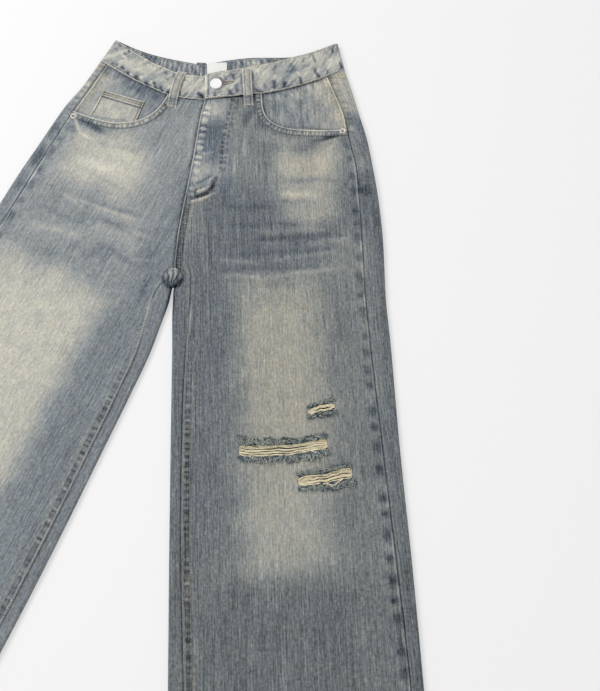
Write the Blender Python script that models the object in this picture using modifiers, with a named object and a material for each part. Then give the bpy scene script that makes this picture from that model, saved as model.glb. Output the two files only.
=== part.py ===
"""Ripped wide-leg jeans that lie flat on a surface, front up, waist towards +Y.

Metres, +Z up. The origin is the middle of the garment's bounding box, on the surface it lies on.
Each half of the garment (its leg and its side of the seat) has directions of its own: "across"
runs outwards from the crotch, square to the leg, and "down" runs along the leg to the hem.
The back panels wrap round both edges of a leg, so the side seam and the inseam show on top.
"""

import math

import bpy
import numpy as np
from mathutils import Matrix

# Cloth and gaps
DENIM = 0.0013  # wall of one layer
DOUBLED = 0.0026  # wall of the waistband: two layers
LIGHT_DENIM = 0.0010  # facings and the coin pocket
SEAM_GAP = 0.0003  # between pieces that are sewn together

# Where the layers lie
LEG_TOP = 0.0064  # outer face of the front, on the legs
SEAT_TOP = 0.0073  # the same, on the seat
SEAT_BASE = 0.0017  # the seat's underside, lifted by the back pockets
BAND_TOP = 0.0079  # outer face of the front waistband
SEAT_ENDS = (-0.050, 0.060)  # down: the seat's levels change to the legs' between these
EDGE_ROUND = 0.0040  # how far a folded edge rounds inwards
FLAT_STEP = 0.0020  # between the inner columns where they lie flat
CROTCH_TURN = 0.035  # down: the back comes up round a leg's inner edge over this length

# The whole garment
CROTCH = (0.1089, 0.1511)  # where the four panels meet
INSEAM = 0.690
FRONT_RISE = 0.2802  # crotch to the waistband's seam, at the centre front
BACK_RISE = 0.300
BAND_HEIGHT = 0.044
FRONT_SLANT = 0.095  # how far the centre front line moves to +X for each metre up
FRONT_BOW = (  # (height above the crotch, how far the line bows to +X there)
    (0.0, 0.0),
    (0.007, -0.0048),
    (0.014, -0.0069),
    (0.040, -0.0081),
    (0.065, -0.0086),
    (0.110, -0.0074),
    (0.142, -0.0057),
    (0.182, -0.0040),
    (0.230, -0.0034),
    (0.255, -0.0028),
    (0.2802, 0.0),
)
BACK_SLANT = 0.052
YOKE_DEPTH = (0.24, 0.12)  # share of the back's rows above its seam: centre back, side

# Where the front closes: the left half lies over the right one
FLY_UNDERLAP = 0.012  # right front under the left
UNDERLAP_ENDS = (0.020, 0.060)  # height above the crotch: the underlap grows between these
LEAST_UNDERLAP = 0.0015  # narrower than this it is left out
UNDERLAP_DROP = 0.0002  # its top edge below the waistband's seam
FLY_LIFT = 0.0016  # left front over the right
FLY_LIFT_ENDS = (-0.012, 0.018)  # height above the crotch: the lift grows between these
BAND_LIFT = 0.0029  # left waistband over the right one's end
BAND_UNDERLAP = 0.045
LIFT_FADE = 0.060  # across: the lift is gone this far on

# A leg's outline in its own directions: the centre line or inseam, the side seam, the outer
# folded edge and the inner one
LEG_COLUMNS = ("down", "inseam", "side", "fold", "turn")
LEFT_LEG = (
    (-0.330, 0.0, 0.2155, 0.2460, 0.0),
    (-0.290, 0.0, 0.2290, 0.2555, 0.0),
    (-0.246, 0.0, 0.2420, 0.2645, 0.0),
    (-0.205, 0.0, 0.2470, 0.2730, 0.0),
    (-0.160, 0.0, 0.2540, 0.2782, 0.0),
    (-0.110, 0.0, 0.2553, 0.2825, 0.0),
    (-0.050, 0.0, 0.2555, 0.2845, 0.0),
    (0.000, 0.0, 0.2548, 0.2835, 0.0),
    (0.014, 0.0140, 0.2546, 0.2830, -0.0050),
    (0.040, 0.0164, 0.2545, 0.2822, -0.0072),
    (0.110, 0.0108, 0.2562, 0.2835, -0.0075),
    (0.250, 0.0060, 0.2622, 0.2845, -0.0085),
    (0.400, 0.0065, 0.2690, 0.2880, -0.0090),
    (0.500, 0.0090, 0.2732, 0.2893, -0.0090),
    (0.690, 0.0130, 0.2760, 0.2900, -0.0085),
)
RIGHT_LEG = (
    (-0.310, 0.0, 0.2500, 0.2628, 0.0),
    (-0.264, 0.0, 0.2525, 0.2645, 0.0),
    (-0.215, 0.0, 0.2550, 0.2678, 0.0),
    (-0.180, 0.0, 0.2575, 0.2735, 0.0),
    (-0.120, 0.0, 0.2597, 0.2767, 0.0),
    (-0.040, 0.0, 0.2603, 0.2798, 0.0),
    (0.000, 0.0, 0.2605, 0.2802, 0.0),
    (0.014, 0.0120, 0.2608, 0.2802, 0.0000),
    (0.040, 0.0160, 0.2615, 0.2802, -0.0060),
    (0.070, 0.0107, 0.2620, 0.2801, -0.0100),
    (0.110, 0.0018, 0.2625, 0.2800, -0.0152),
    (0.180, -0.0035, 0.2628, 0.2800, -0.0185),
    (0.250, -0.0060, 0.2630, 0.2800, -0.0205),
    (0.400, -0.0100, 0.2640, 0.2800, -0.0245),
    (0.690, -0.0090, 0.2650, 0.2800, -0.0240),
)

# The waistband's edges, from its front end to the folded edge at the side and on to the centre
# back, where they end on the centre line
BAND_COLUMNS = ("seam_across", "seam_down", "top_across", "top_down")
LEFT_FRONT_BAND = (
    (0.0383, -0.2789, 0.0392, -0.3214),
    (0.0916, -0.2836, 0.0950, -0.3310),
    (0.1432, -0.2901, 0.1480, -0.3425),
    (0.1960, -0.3040, 0.2000, -0.3565),
    (0.2440, -0.3228, 0.2362, -0.3705),
)
LEFT_BACK_BAND = (
    (0.2440, -0.3231, 0.2362, -0.3717),
    (0.1800, -0.3080, 0.1800, -0.3520),
    (0.1000, -0.3080, 0.1000, -0.3520),
)
RIGHT_FRONT_BAND = (
    (0.0892, -0.2668, 0.1111, -0.3034),
    (0.1350, -0.2540, 0.1440, -0.2935),
    (0.1976, -0.2551, 0.1969, -0.2951),
    (0.2605, -0.2642, 0.2575, -0.3069),
)
RIGHT_BACK_BAND = (
    (0.2605, -0.2645, 0.2575, -0.3087),
    (0.2100, -0.2680, 0.2200, -0.3070),
    (0.1700, -0.2715, 0.1800, -0.3105),
)

RIGHT_BAND_END = (0.0515, -0.2923, 0.0724, -0.3325)  # where it ends under the left one

# Front pocket mouths: a rounded corner from the waistband to the side seam
FACING_REACH = 0.022  # how far a pocket's facing runs on under the front
FACING_TUCK = 0.0017  # how far it runs under the waistband and the side seam
# across at the waistband, down at the side seam, and the exponent of the rounded corner: 2 is
# an ellipse, more is squarer
LEFT_MOUTH = (0.1225, -0.2190, 3.6)
RIGHT_MOUTH = (0.1435, -0.1705, 2.6)

# Rips across the left front: the middle of each, in the leg's directions, its length, its
# height with the fringe, and its tilt
RIP_COLUMNS = ("name", "across", "down", "length", "height", "tilt")
RIPS = (
    ("upper", 0.187, 0.195, 0.040, 0.015, 0.10),
    ("middle", 0.135, 0.249, 0.112, 0.027, 0.05),
    ("lower", 0.187, 0.288, 0.070, 0.021, 0.16),
)
RIP_THREADS = 0.0008  # thickness of the layer of loose threads in a rip
RIP_SIDES = 24
CUTTER_DEPTH = 0.02

# Belt loops
LOOP_WIDTH = 0.0138
LOOP_WALL = 0.0013
LOOP_LENGTH = 0.062
LOOP_STEPS = 8
LOOP_CLIMB = (0.02, 0.18)  # shares of its length: it climbs onto the waistband between these
LOOP_SETBACK = 0.004  # across: it follows the waistband's lift from this far behind
FRONT_LOOPS = {"left": (0.1030, -0.2665, -0.03), "right": (0.1296, -0.2355, 0.26)}  # foot, lean
BACK_LOOP_AT = {"left": (0.170, -0.3185), "right": (0.195, -0.2765)}
CENTRE_LOOP_UP = 0.0185  # its middle above the waistband's seam

# Small pieces
BUTTON_AT = (0.0553, -0.3028)  # in the left leg's directions
BUTTON_RADIUS = 0.0085
BUTTON_DEPTH = 0.0026
BUTTON_DISH = 0.0005  # how far its middle lies below its rim
BUTTON_EASE = 0.0011  # how far its edge rounds down
BUTTON_SIDES = 28
SHANK_RADIUS = 0.0014
HOLE_LENGTH = 0.030
HOLE_WIDTH = 0.0036
HOLE_OFFSET = 0.0130  # the slit's middle, outwards from the button
HOLE_SLOPE = 0.12
RIVET_RADIUS = 0.0045
RIVET_DEPTH = 0.0012
RIVET_SIDES = 20
EASED_SHARE = 0.3  # of its depth
LEFT_RIVET = (0.2385, -0.2170)
RIGHT_RIVET = (0.2532, -0.1632)
LABEL_SIZE = (0.030, 0.032)
LABEL_WALL = 0.0004
LABEL_AT = (0.0565, -0.3290)  # in the left leg's directions
COIN_POCKET = ((0.170, -0.2278), (0.235, -0.2212), (0.232, -0.158), (0.163, -0.158))
BACK_POCKET = (0.140, 0.150, 0.120, 0.022)  # top width, height, width above the point, point
BACK_POCKET_AT = (0.145, -0.212)  # the middle of its top edge

# Numbers of rows and columns in the faceted cloth
MOUTH_ROWS = 4
SEAT_ROWS = 7
YOKE_ROWS = 2
BAND_SAMPLES = 1001  # along a waistband's edge, where a place on it is looked up
SEAM_SAMPLES = 65  # along a seam whose curve is measured
FACING_TURNS = 13  # points round a facing's hidden edge
FACING_SIDE = 5
FACING_WAIST = 8
LEG_DOWNS = (0.015, 0.040, 0.075, 0.120, 0.180, 0.240, 0.300, 0.380, 0.460, 0.540, 0.620, 0.690)
INNER_COLUMNS = 6  # from the centre front to the pocket's mouth
OUTER_COLUMNS = 6  # from the mouth to the side seam
STRIP_COLUMNS = 2
FOLD_COLUMNS = 4
UNDER_COLUMNS = 8
BAND_MOUTH_COLUMNS = 4  # of the waistband, above a pocket's mouth
BAND_ROWS = 2
END_COLUMNS = 4  # of the right waistband's end, under the left one


def material(name, colour, roughness, metallic=0.0):
    """A plain Principled finish."""
    made = bpy.data.materials.new(name)
    made.use_nodes = True
    shader = made.node_tree.nodes["Principled BSDF"]
    shader.inputs["Base Color"].default_value = (*colour, 1)
    shader.inputs["Roughness"].default_value = roughness
    shader.inputs["Metallic"].default_value = metallic
    return made


def ease(share):
    """0 to 1 with level ends."""
    share = np.clip(share, 0.0, 1.0)
    return share * share * (3 - 2 * share)


def through(knots, values, wanted):
    """A smooth curve through the values at the knots: cubics whose slopes are the neighbours'."""
    knots = np.asarray(knots, float)
    values = np.asarray(values, float)
    slopes = np.gradient(values, knots, axis=0)
    wanted = np.clip(wanted, knots[0], knots[-1])
    index = np.clip(np.searchsorted(knots, wanted) - 1, 0, len(knots) - 2)
    span = knots[index + 1] - knots[index]
    t = (wanted - knots[index]) / span
    if values.ndim == 2:
        t = np.asarray(t)[..., None]
        span = np.asarray(span)[..., None]
    start = values[index] * (1 + 2 * t) * (1 - t) ** 2 + slopes[index] * span * t * (1 - t) ** 2
    end = values[index + 1] * t * t * (3 - 2 * t) + slopes[index + 1] * span * t * t * (t - 1)
    return start + end


class Half:
    """One leg with its half of the seat, and where its seams and edges run.

    The side seam meets the waistband on the front, at side_share of the waistband's front
    edge and side_down along the leg.
    """

    def __init__(self, name, side, lean, leg, front_band, back_band, mouth):
        self.name = name
        self.side = side
        self.lean = math.radians(lean)
        self.leg = np.array(leg)
        self.front_band = np.array(front_band)
        self.mouth = mouth
        back_seam = self.centre_back(BACK_RISE)
        back_top = self.centre_back(BACK_RISE + BAND_HEIGHT)
        self.back_band = np.array([*back_band, (*back_seam, *back_top)])
        shares = np.linspace(0, 1, BAND_SAMPLES)
        seam = self.band_edge(self.front_band, "seam", shares)
        beyond = seam[:, 0] - self.edge("side", seam[:, 1])
        self.side_share = float(np.interp(0, beyond, shares))
        self.side_down = self.band_edge(self.front_band, "seam", self.side_share)[1]

    def place(self, across, down):
        """The point's X and Y, as an array of pairs."""
        across = np.asarray(across, float)
        down = np.asarray(down, float)
        cos = math.cos(self.lean)
        sin = math.sin(self.lean)
        x = CROTCH[0] + self.side * (cos * across + sin * down)
        y = CROTCH[1] + sin * across - cos * down
        return np.stack([x, y], axis=-1)

    def own(self, x, y):
        """(across, down) of a point given from the crotch along X and Y."""
        cos = math.cos(self.lean)
        sin = math.sin(self.lean)
        out = self.side * x
        return cos * out + sin * y, sin * out - cos * y

    def edge(self, column, down):
        """Where an edge or seam of the leg lies across, at this distance down."""
        return through(self.leg[:, 0], self.leg[:, LEG_COLUMNS.index(column)], down)

    def centre_front(self, rise):
        """(across, down) of the centre front line at this height above the crotch."""
        heights, bows = np.transpose(FRONT_BOW)
        return self.own(FRONT_SLANT * rise + np.interp(rise, heights, bows), rise)

    def centre_back(self, rise):
        """(across, down) of the centre back line at this height above the crotch."""
        return self.own(BACK_SLANT * rise, rise)

    def band_edge(self, band, edge, share):
        """(across, down) along the waistband's seam or top edge, from the front end at 0."""
        at = BAND_COLUMNS.index(edge + "_across")
        knots = np.linspace(0, 1, len(band))
        return through(knots, band[:, at : at + 2], share)


LEFT = Half("left", 1, 2.4, LEFT_LEG, LEFT_FRONT_BAND, LEFT_BACK_BAND, LEFT_MOUTH)
RIGHT = Half("right", -1, 24.0, RIGHT_LEG, RIGHT_FRONT_BAND, RIGHT_BACK_BAND, RIGHT_MOUTH)


def seat_share(down):
    """1 on the seat, 0 on the legs."""
    first, last = SEAT_ENDS
    return 1 - ease((np.asarray(down, float) - first) / (last - first))


def top_level(down):
    """Height of the front's outer face."""
    return LEG_TOP + (SEAT_TOP - LEG_TOP) * seat_share(down)


def base_level(down):
    """Height of the back's outer face, which is the underside."""
    return SEAT_BASE * seat_share(down)


def mouth_point(half, turn, grow=0.0):
    """(across, down) on a pocket's mouth: turn 0 at the waistband, pi/2 at the side seam.

    A mouth that has grown by some distance is the hidden edge of the pocket's facing.
    """
    across_top = half.mouth[0] - grow
    down_side = half.mouth[1] + grow
    across_side = half.edge("side", down_side) - SEAM_GAP / 2
    down_top = half.band_edge(half.front_band, "seam", band_share(half, across_top))[1] + SEAM_GAP
    power = 2 / half.mouth[2]
    return (
        across_side - (across_side - across_top) * math.cos(turn) ** power,
        down_top + (down_side - down_top) * math.sin(turn) ** power,
    )


def band_share(half, across):
    """How far along the front waistband's seam this distance across lies."""
    shares = np.linspace(0, 1, BAND_SAMPLES)
    seam = half.band_edge(half.front_band, "seam", shares)
    return float(np.interp(across, seam[:, 0], shares))


def front_shares(half):
    """Where the front's columns, the mouth, the side seam and the strip beyond it meet the
    waistband's seam."""
    mouth = band_share(half, half.mouth[0])
    inner = np.linspace(0, mouth, INNER_COLUMNS + 1)
    outer = np.linspace(mouth, half.side_share, BAND_MOUTH_COLUMNS + 1)[1:]
    side = half.edge("side", half.side_down) + SEAM_GAP / 2
    strip = np.linspace(side, half.front_band[-1, 0], STRIP_COLUMNS + 1)[1:]
    return np.concatenate([inner, outer, [band_share(half, across) for across in strip]])


def seat_drops(half):
    """Shares of the way from the waist to the crotch, from the mouth's end down."""
    first = 1 - mouth_point(half, math.pi / 2)[1] / half.side_down
    return np.linspace(first, 1, SEAT_ROWS + 1)


def front_grid(half):
    """(across, down) of the front panel's points: rows from the waist to the hem.

    The rows above the mouth's corner stop at the mouth, so their outer columns are unused.
    """
    columns = INNER_COLUMNS + OUTER_COLUMNS + 1
    shares = np.linspace(0, 1, columns)
    rows = []
    drops = seat_drops(half)
    seam = half.band_edge(half.front_band, "seam", front_shares(half)[: INNER_COLUMNS + 1])
    bow = seam - np.linspace(seam[0], seam[-1], INNER_COLUMNS + 1)
    for i in range(MOUTH_ROWS + 1):
        drop = drops[0] * i / MOUTH_ROWS
        inner = half.centre_front(FRONT_RISE * (1 - drop))
        edge = mouth_point(half, math.pi / 4 * (i / MOUTH_ROWS))
        line = np.linspace(inner, edge, INNER_COLUMNS + 1) + bow * (1 - i / MOUTH_ROWS) ** 2
        if i == 0:
            line = seam + (0, SEAM_GAP)
        if i < MOUTH_ROWS:
            rest = np.repeat(line[-1:], OUTER_COLUMNS, axis=0)
        else:
            turns = np.linspace(math.pi / 4, math.pi / 2, OUTER_COLUMNS + 1)[1:]
            rest = np.array([mouth_point(half, turn) for turn in turns])
        rows.append(np.vstack([line, rest]))
    corner_row = rows[-1]
    straight = np.linspace(corner_row[0], corner_row[-1], columns)
    bend = corner_row - straight
    for i, drop in enumerate(drops[1:]):
        share = (i + 1) / SEAT_ROWS
        inner = half.centre_front(FRONT_RISE * (1 - drop))
        down = half.side_down * (1 - drop)
        outer = (half.edge("side", down) - SEAM_GAP / 2, down)
        rows.append(np.linspace(inner, outer, columns) + bend * (1 - share) ** 2)
    rows[-1][0, 0] += SEAM_GAP / 2
    for down in LEG_DOWNS:
        inner = half.edge("inseam", down) + SEAM_GAP / 2
        outer = half.edge("side", down) - SEAM_GAP / 2
        rows.append(np.stack([inner + (outer - inner) * shares, np.full(columns, down)], axis=1))
    return np.array(rows)


def fly_share(half, rise, beyond):
    """1 at the centre front on the left half, 0 well away from it and at the crotch."""
    if half.side < 0:
        return 0.0 * beyond
    first, last = FLY_LIFT_ENDS
    return (1 - ease(beyond / LIFT_FADE)) * ease((rise - first) / (last - first))


def front_panel(half, denim, cutters):
    """The front, with the pocket's mouth cut into its upper outer corner."""
    grid = front_grid(half)
    plan = half.place(grid[..., 0], grid[..., 1])
    beyond = grid[..., 0] - grid[:, :1, 0]
    height = top_level(grid[..., 1]) + FLY_LIFT * fly_share(half, -grid[:, :1, 1], beyond)
    points = np.concatenate([plan, height[..., None]], axis=-1)
    keep = np.ones((len(grid) - 1, grid.shape[1] - 1), bool)
    keep[:MOUTH_ROWS, INNER_COLUMNS:] = False
    if half.side < 0:
        first, last = UNDERLAP_ENDS
        under = FLY_UNDERLAP * ease((-grid[:, :1, 1] - first) / (last - first))
        lap = grid[:, :1] + np.stack([-under, np.full_like(under, UNDERLAP_DROP)], axis=-1)
        lap_plan = half.place(lap[..., 0], lap[..., 1])
        lap_points = np.concatenate([lap_plan, top_level(lap[..., 1])[..., None]], axis=-1)
        points = np.concatenate([lap_points, points], axis=1)
        wide = under > LEAST_UNDERLAP
        keep = np.concatenate([wide[:-1] & wide[1:], keep], axis=1)
    made = sheet("front_" + half.name, points, DENIM, denim, keep, flip=half.side < 0)
    for cutter in cutters:
        cut(made, cutter)
    return made


def back_profile(half, inner, side, fold, turn, downs, lift):
    """(across, down, height) round a leg from the side seam, over both edges, to the inseam.

    The downs are at the side seam, the outer edge and the inner end. Where the lift is 0, on
    the seat, the inner columns lie flat up to the centre back.
    """
    down_side, down_out, down_in = downs
    top_out, base_out = float(top_level(down_out)), float(base_level(down_out))
    top_in, base_in = float(top_level(down_in)), float(base_level(down_in))
    start = fold - EDGE_ROUND
    strip = np.linspace(0, 1, STRIP_COLUMNS + 1)
    angles = np.linspace(math.pi / 2, -math.pi / 2, FOLD_COLUMNS + 1)
    across = list(side + (start - side) * strip[:-1])
    across += list(start + EDGE_ROUND * np.cos(angles[:-1]))
    height = [top_out] * STRIP_COLUMNS
    height += list((top_out + base_out) / 2 + (top_out - base_out) / 2 * np.sin(angles[:-1]))
    stop = turn + EDGE_ROUND
    folded_across = np.append(stop - EDGE_ROUND * np.cos(angles), stop + (inner - stop) * strip[1:])
    folded_height = (top_in + base_in) / 2 - (top_in - base_in) / 2 * np.sin(angles)
    folded_height = np.append(folded_height, [top_in] * STRIP_COLUMNS)
    flat_across = turn + FLAT_STEP * np.arange(FOLD_COLUMNS + STRIP_COLUMNS, -1, -1)
    end_across = folded_across * lift + flat_across * (1 - lift)
    end_height = folded_height * lift + base_in * (1 - lift)
    under = under_shares(half)[:-1]
    across += list(start + (end_across[0] - start) * under)
    height += list(base_out + (base_in - base_out) * under)
    across = np.append(across, end_across)
    height = np.append(height, end_height)
    inwards = np.clip((start - across) / (start - end_across[-1]), 0, 1)
    down = down_out + (down_in - down_out) * inwards
    down[:STRIP_COLUMNS] = (down_side + (down_out - down_side) * strip)[:-1]
    return np.column_stack([across, down, height])


def under_shares(half):
    """How the columns under a leg are spaced: as the waistband's are along its back seam."""
    seam = half.band_edge(half.back_band, "seam", np.linspace(0, 1, UNDER_COLUMNS + 1))
    return (seam[:, 0] - seam[0, 0]) / (seam[-1, 0] - seam[0, 0])


def bow(seam, across):
    """How far a seam bows from a straight line between its ends, at points across."""
    seam = seam[np.argsort(seam[:, 0])]
    straight = np.interp(across, seam[[0, -1], 0], seam[[0, -1], 1])
    return np.interp(across, seam[:, 0], seam[:, 1]) - straight


def back_rows(half, drops, downs):
    """The back's points: rows on the seat, each at a share of the way down from the waist at the
    centre back and at the side, then rows at these distances down the leg."""
    rows = []
    first_under = STRIP_COLUMNS + FOLD_COLUMNS
    back_shares = np.linspace(0, 1, SEAM_SAMPLES)
    back_seam = half.band_edge(half.back_band, "seam", back_shares)
    strip_shares = np.linspace(half.side_share, 1, SEAM_SAMPLES)
    strip_seam = half.band_edge(half.front_band, "seam", strip_shares)
    for centre_drop, side_drop in drops:
        across, down_in = half.centre_back(BACK_RISE * (1 - centre_drop))
        across += SEAM_GAP / 2
        down_side = half.side_down * (1 - side_drop)
        down_out = half.front_band[-1, 1] * (1 - side_drop)
        side = half.edge("side", down_side) + SEAM_GAP / 2
        fold = half.edge("fold", down_out)
        downs_at = (down_side, down_out, down_in)
        row = back_profile(half, across, side, fold, across, downs_at, 0.0)
        strip = row[:STRIP_COLUMNS]
        strip[:, 1] += bow(strip_seam, strip[:, 0]) * (1 - side_drop) ** 2
        under = row[first_under:]
        under[:, 1] += bow(back_seam, under[:, 0]) * (1 - centre_drop) ** 2
        row[:, 1] += 2 * SEAM_GAP * (centre_drop == 0)
        rows.append(row)
    for down in downs:
        inner = half.edge("inseam", down) - SEAM_GAP / 2
        side = half.edge("side", down) + SEAM_GAP / 2
        fold = half.edge("fold", down)
        turn = half.edge("turn", down)
        lift = float(ease(down / CROTCH_TURN))
        rows.append(back_profile(half, inner, side, fold, turn, (down, down, down), lift))
    return np.array(rows)


def world(half, rows):
    return np.concatenate([half.place(rows[..., 0], rows[..., 1]), rows[..., 2:]], axis=-1)


def back_panel(half, denim):
    top = np.array(YOKE_DEPTH) + SEAM_GAP / BACK_RISE
    drops = np.vstack([top, np.repeat(seat_drops(half)[:, None], 2, axis=1)])
    rows = back_rows(half, drops, LEG_DOWNS)
    return sheet("back_" + half.name, world(half, rows), DENIM, denim, None, flip=half.side < 0)


def yoke(half, denim):
    """The shaped piece between the waistband and the back panel."""
    rows = back_rows(half, np.linspace((0, 0), YOKE_DEPTH, YOKE_ROWS + 1), ())
    return sheet("yoke_" + half.name, world(half, rows), DENIM, denim, None, flip=half.side < 0)


def band_lift(half, along):
    """How far the left waistband rises to pass over the right one's end."""
    if half.side < 0:
        return 0.0 * along
    return BAND_LIFT * (1 - ease((along - BAND_UNDERLAP) / LIFT_FADE))


def waistband(half, denim, cutters):
    """One half of the waistband, from the centre front round the side to the centre back."""
    stations = []
    seam = half.band_edge(half.front_band, "seam", front_shares(half))
    top = half.band_edge(half.front_band, "top", front_shares(half))
    heights = BAND_TOP + band_lift(half, seam[:, 0] - seam[0, 0])
    if half.side < 0:
        for share in np.linspace(1, 0, END_COLUMNS + 1)[:-1]:
            under_seam = seam[0] + (np.array(RIGHT_BAND_END[:2]) - seam[0]) * share
            under_top = top[0] + (np.array(RIGHT_BAND_END[2:]) - top[0]) * share
            stations.append((under_seam, under_top, BAND_TOP))
    for low, high, height in zip(seam, top, heights):
        stations.append((low, high, height))
    back_shares = np.linspace(0, 1, UNDER_COLUMNS + 1)
    back_seam = half.band_edge(half.back_band, "seam", back_shares)
    back_top = half.band_edge(half.back_band, "top", back_shares)
    middle = (BAND_TOP + SEAT_BASE) / 2
    for angle in np.linspace(math.pi / 2, -math.pi / 2, FOLD_COLUMNS + 1)[1:-1]:
        turned = 0.5 - angle / math.pi
        out = np.array([EDGE_ROUND * math.cos(angle), 0])
        low = seam[-1] + (back_seam[0] - seam[-1]) * turned + out
        high = top[-1] + (back_top[0] - top[-1]) * turned + out
        stations.append((low, high, middle + (BAND_TOP - middle) * math.sin(angle)))
    for low, high in zip(back_seam, back_top):
        stations.append((low, high, SEAT_BASE))
    stations[-1][0][0] += SEAM_GAP / 2
    stations[-1][1][0] += SEAM_GAP / 2
    rows = []
    for share in np.linspace(0, 1, BAND_ROWS + 1):
        across_down = np.array([low + (high - low) * share for low, high, _ in stations])
        height = np.array([station[2] for station in stations])
        rows.append(np.column_stack([across_down, height]))
    made = sheet("waistband_" + half.name, world(half, np.array(rows)), DOUBLED, denim,
                 flip=half.side > 0)
    for cutter in cutters:
        cut(made, cutter)


def flat_piece(name, outline, low, wall, finish):
    """A level piece: a filled outline, its lower face at this height."""
    curve = bpy.data.curves.new(name, "CURVE")
    curve.dimensions = "2D"
    curve.fill_mode = "BOTH"
    curve.extrude = wall / 2
    spline = curve.splines.new("POLY")
    spline.points.add(len(outline) - 1)
    middle = np.mean(outline, axis=0)
    for point, (x, y) in zip(spline.points, outline):
        point.co = (x - middle[0], y - middle[1], 0, 1)
    spline.use_cyclic_u = True
    made = keep_object(name, curve, finish)
    made.location = (middle[0], middle[1], low + wall / 2)
    return made


def pocket_facing(half, denim):
    """The denim that shows inside a pocket's mouth, sewn in at the waist and the side."""
    turns = np.linspace(0, math.pi / 2, FACING_TURNS)
    hidden = [mouth_point(half, turn, FACING_REACH) for turn in turns]
    downs = np.linspace(hidden[-1][1], half.side_down, FACING_SIDE)[:-1]
    side = [(half.edge("side", down) + FACING_TUCK, down) for down in downs]
    first = band_share(half, half.mouth[0] - FACING_REACH)
    shares = np.linspace(half.side_share, first, FACING_WAIST)
    waist = half.band_edge(half.front_band, "seam", shares)
    waist = [(across, down - FACING_TUCK) for across, down in waist[:-1]]
    outline = np.array(hidden[1:-1] + side + waist)
    level = SEAT_TOP - DENIM - 2 * SEAM_GAP - 2 * LIGHT_DENIM
    name = "pocket_facing_" + half.name
    flat_piece(name, half.place(outline[:, 0], outline[:, 1]), level, LIGHT_DENIM, denim)


def coin_pocket(denim):
    outline = np.array(COIN_POCKET)
    level = SEAT_TOP - DENIM - SEAM_GAP - LIGHT_DENIM
    flat_piece("coin_pocket", RIGHT.place(outline[:, 0], outline[:, 1]), level, LIGHT_DENIM, denim)


def back_pocket(half, denim):
    """A plain patch pocket with a point at the bottom, under the seat."""
    width, height, low_width, point = BACK_POCKET
    across, down = BACK_POCKET_AT
    outline = np.array(
        [
            (across - width / 2, down),
            (across + width / 2, down),
            (across + low_width / 2, down + height - point),
            (across, down + height),
            (across - low_width / 2, down + height - point),
        ]
    )
    name = "back_pocket_" + half.name
    flat_piece(name, half.place(outline[:, 0], outline[:, 1]), 0.0, DENIM, denim)


def front_loop(half, denim):
    """A belt loop that lies over the waistband and is sewn down below it."""
    across, down, lean = FRONT_LOOPS[half.name]
    rows = []
    first, last = LOOP_CLIMB
    for share in np.linspace(0, 1, LOOP_STEPS + 1):
        middle = across + lean * LOOP_LENGTH * share
        onto_band = float(ease((share - first) / (last - first)))
        row = []
        for beside in (-LOOP_WIDTH / 2, 0.0, LOOP_WIDTH / 2):
            along = middle + beside - LOOP_SETBACK - half.front_band[0, 0]
            level = BAND_TOP + float(band_lift(half, along))
            height = SEAT_TOP + (level - SEAT_TOP) * onto_band + SEAM_GAP
            row.append((middle + beside, down - LOOP_LENGTH * share + lean * beside, height))
        rows.append(row)
    sheet("belt_loop_front_" + half.name, world(half, np.array(rows)), LOOP_WALL, denim,
          flip=half.side > 0, outwards=True)


def back_loop(name, middle, turn, denim):
    """A belt loop under the back of the waistband, level on the surface."""
    bpy.ops.mesh.primitive_cube_add(size=1)
    made = bpy.context.object
    made.data.transform(Matrix.Diagonal((LOOP_WIDTH, LOOP_LENGTH, LOOP_WALL, 1)))
    made.name = "belt_loop_" + name
    made.location = (middle[0], middle[1], LOOP_WALL / 2)
    made.rotation_euler.z = turn
    made.data.materials.append(denim)
    move_to(made, PARTS)


def move_to(made, collection):
    for old in made.users_collection:
        old.objects.unlink(made)
    collection.objects.link(made)


def back_loops(denim):
    for half in (LEFT, RIGHT):
        middle = half.place(*BACK_LOOP_AT[half.name])
        back_loop("back_" + half.name, middle, half.side * half.lean, denim)
    rise = BACK_RISE + CENTRE_LOOP_UP
    middle = (CROTCH[0] + BACK_SLANT * rise, CROTCH[1] + rise)
    back_loop("back_centre", middle, -BACK_SLANT, denim)


def disc(name, radius, depth, middle, low, finish):
    """A low round piece with an eased upper edge."""
    bpy.ops.mesh.primitive_cylinder_add(vertices=RIVET_SIDES, radius=radius, depth=depth)
    made = bpy.context.object
    made.name = name
    made.location = (middle[0], middle[1], low + depth / 2)
    made.data.materials.append(finish)
    rounding = made.modifiers.new("Eased edge", "BEVEL")
    rounding.width = depth * EASED_SHARE
    rounding.segments = 2
    move_to(made, PARTS)


def button(metal):
    """A button on a shank that stands on the right waistband and comes up through the hole."""
    foot = BAND_TOP + SEAM_GAP
    low = BAND_TOP + BAND_LIFT + SEAM_GAP
    high = low + BUTTON_DEPTH
    profile = [
        (0, high - BUTTON_DISH),
        (BUTTON_RADIUS * 0.62, high - BUTTON_DISH),
        (BUTTON_RADIUS * 0.74, high),
        (BUTTON_RADIUS * 0.90, high - BUTTON_EASE / 5),
        (BUTTON_RADIUS, high - BUTTON_EASE),
        (BUTTON_RADIUS * 0.94, low),
        (SHANK_RADIUS, low),
        (SHANK_RADIUS, foot),
        (0, foot),
    ]
    mesh = bpy.data.meshes.new("button")
    points = [(radius, 0, height) for radius, height in profile]
    mesh.from_pydata(points, [(i, i + 1) for i in range(len(points) - 1)], [])
    made = keep_object("button", mesh, metal)
    turned = made.modifiers.new("Turned", "SCREW")
    turned.steps = BUTTON_SIDES
    turned.render_steps = BUTTON_SIDES
    turned.use_merge_vertices = True
    turned.merge_threshold = 0.00001
    middle = LEFT.place(*BUTTON_AT)
    made.location = (middle[0], middle[1], 0)


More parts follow.
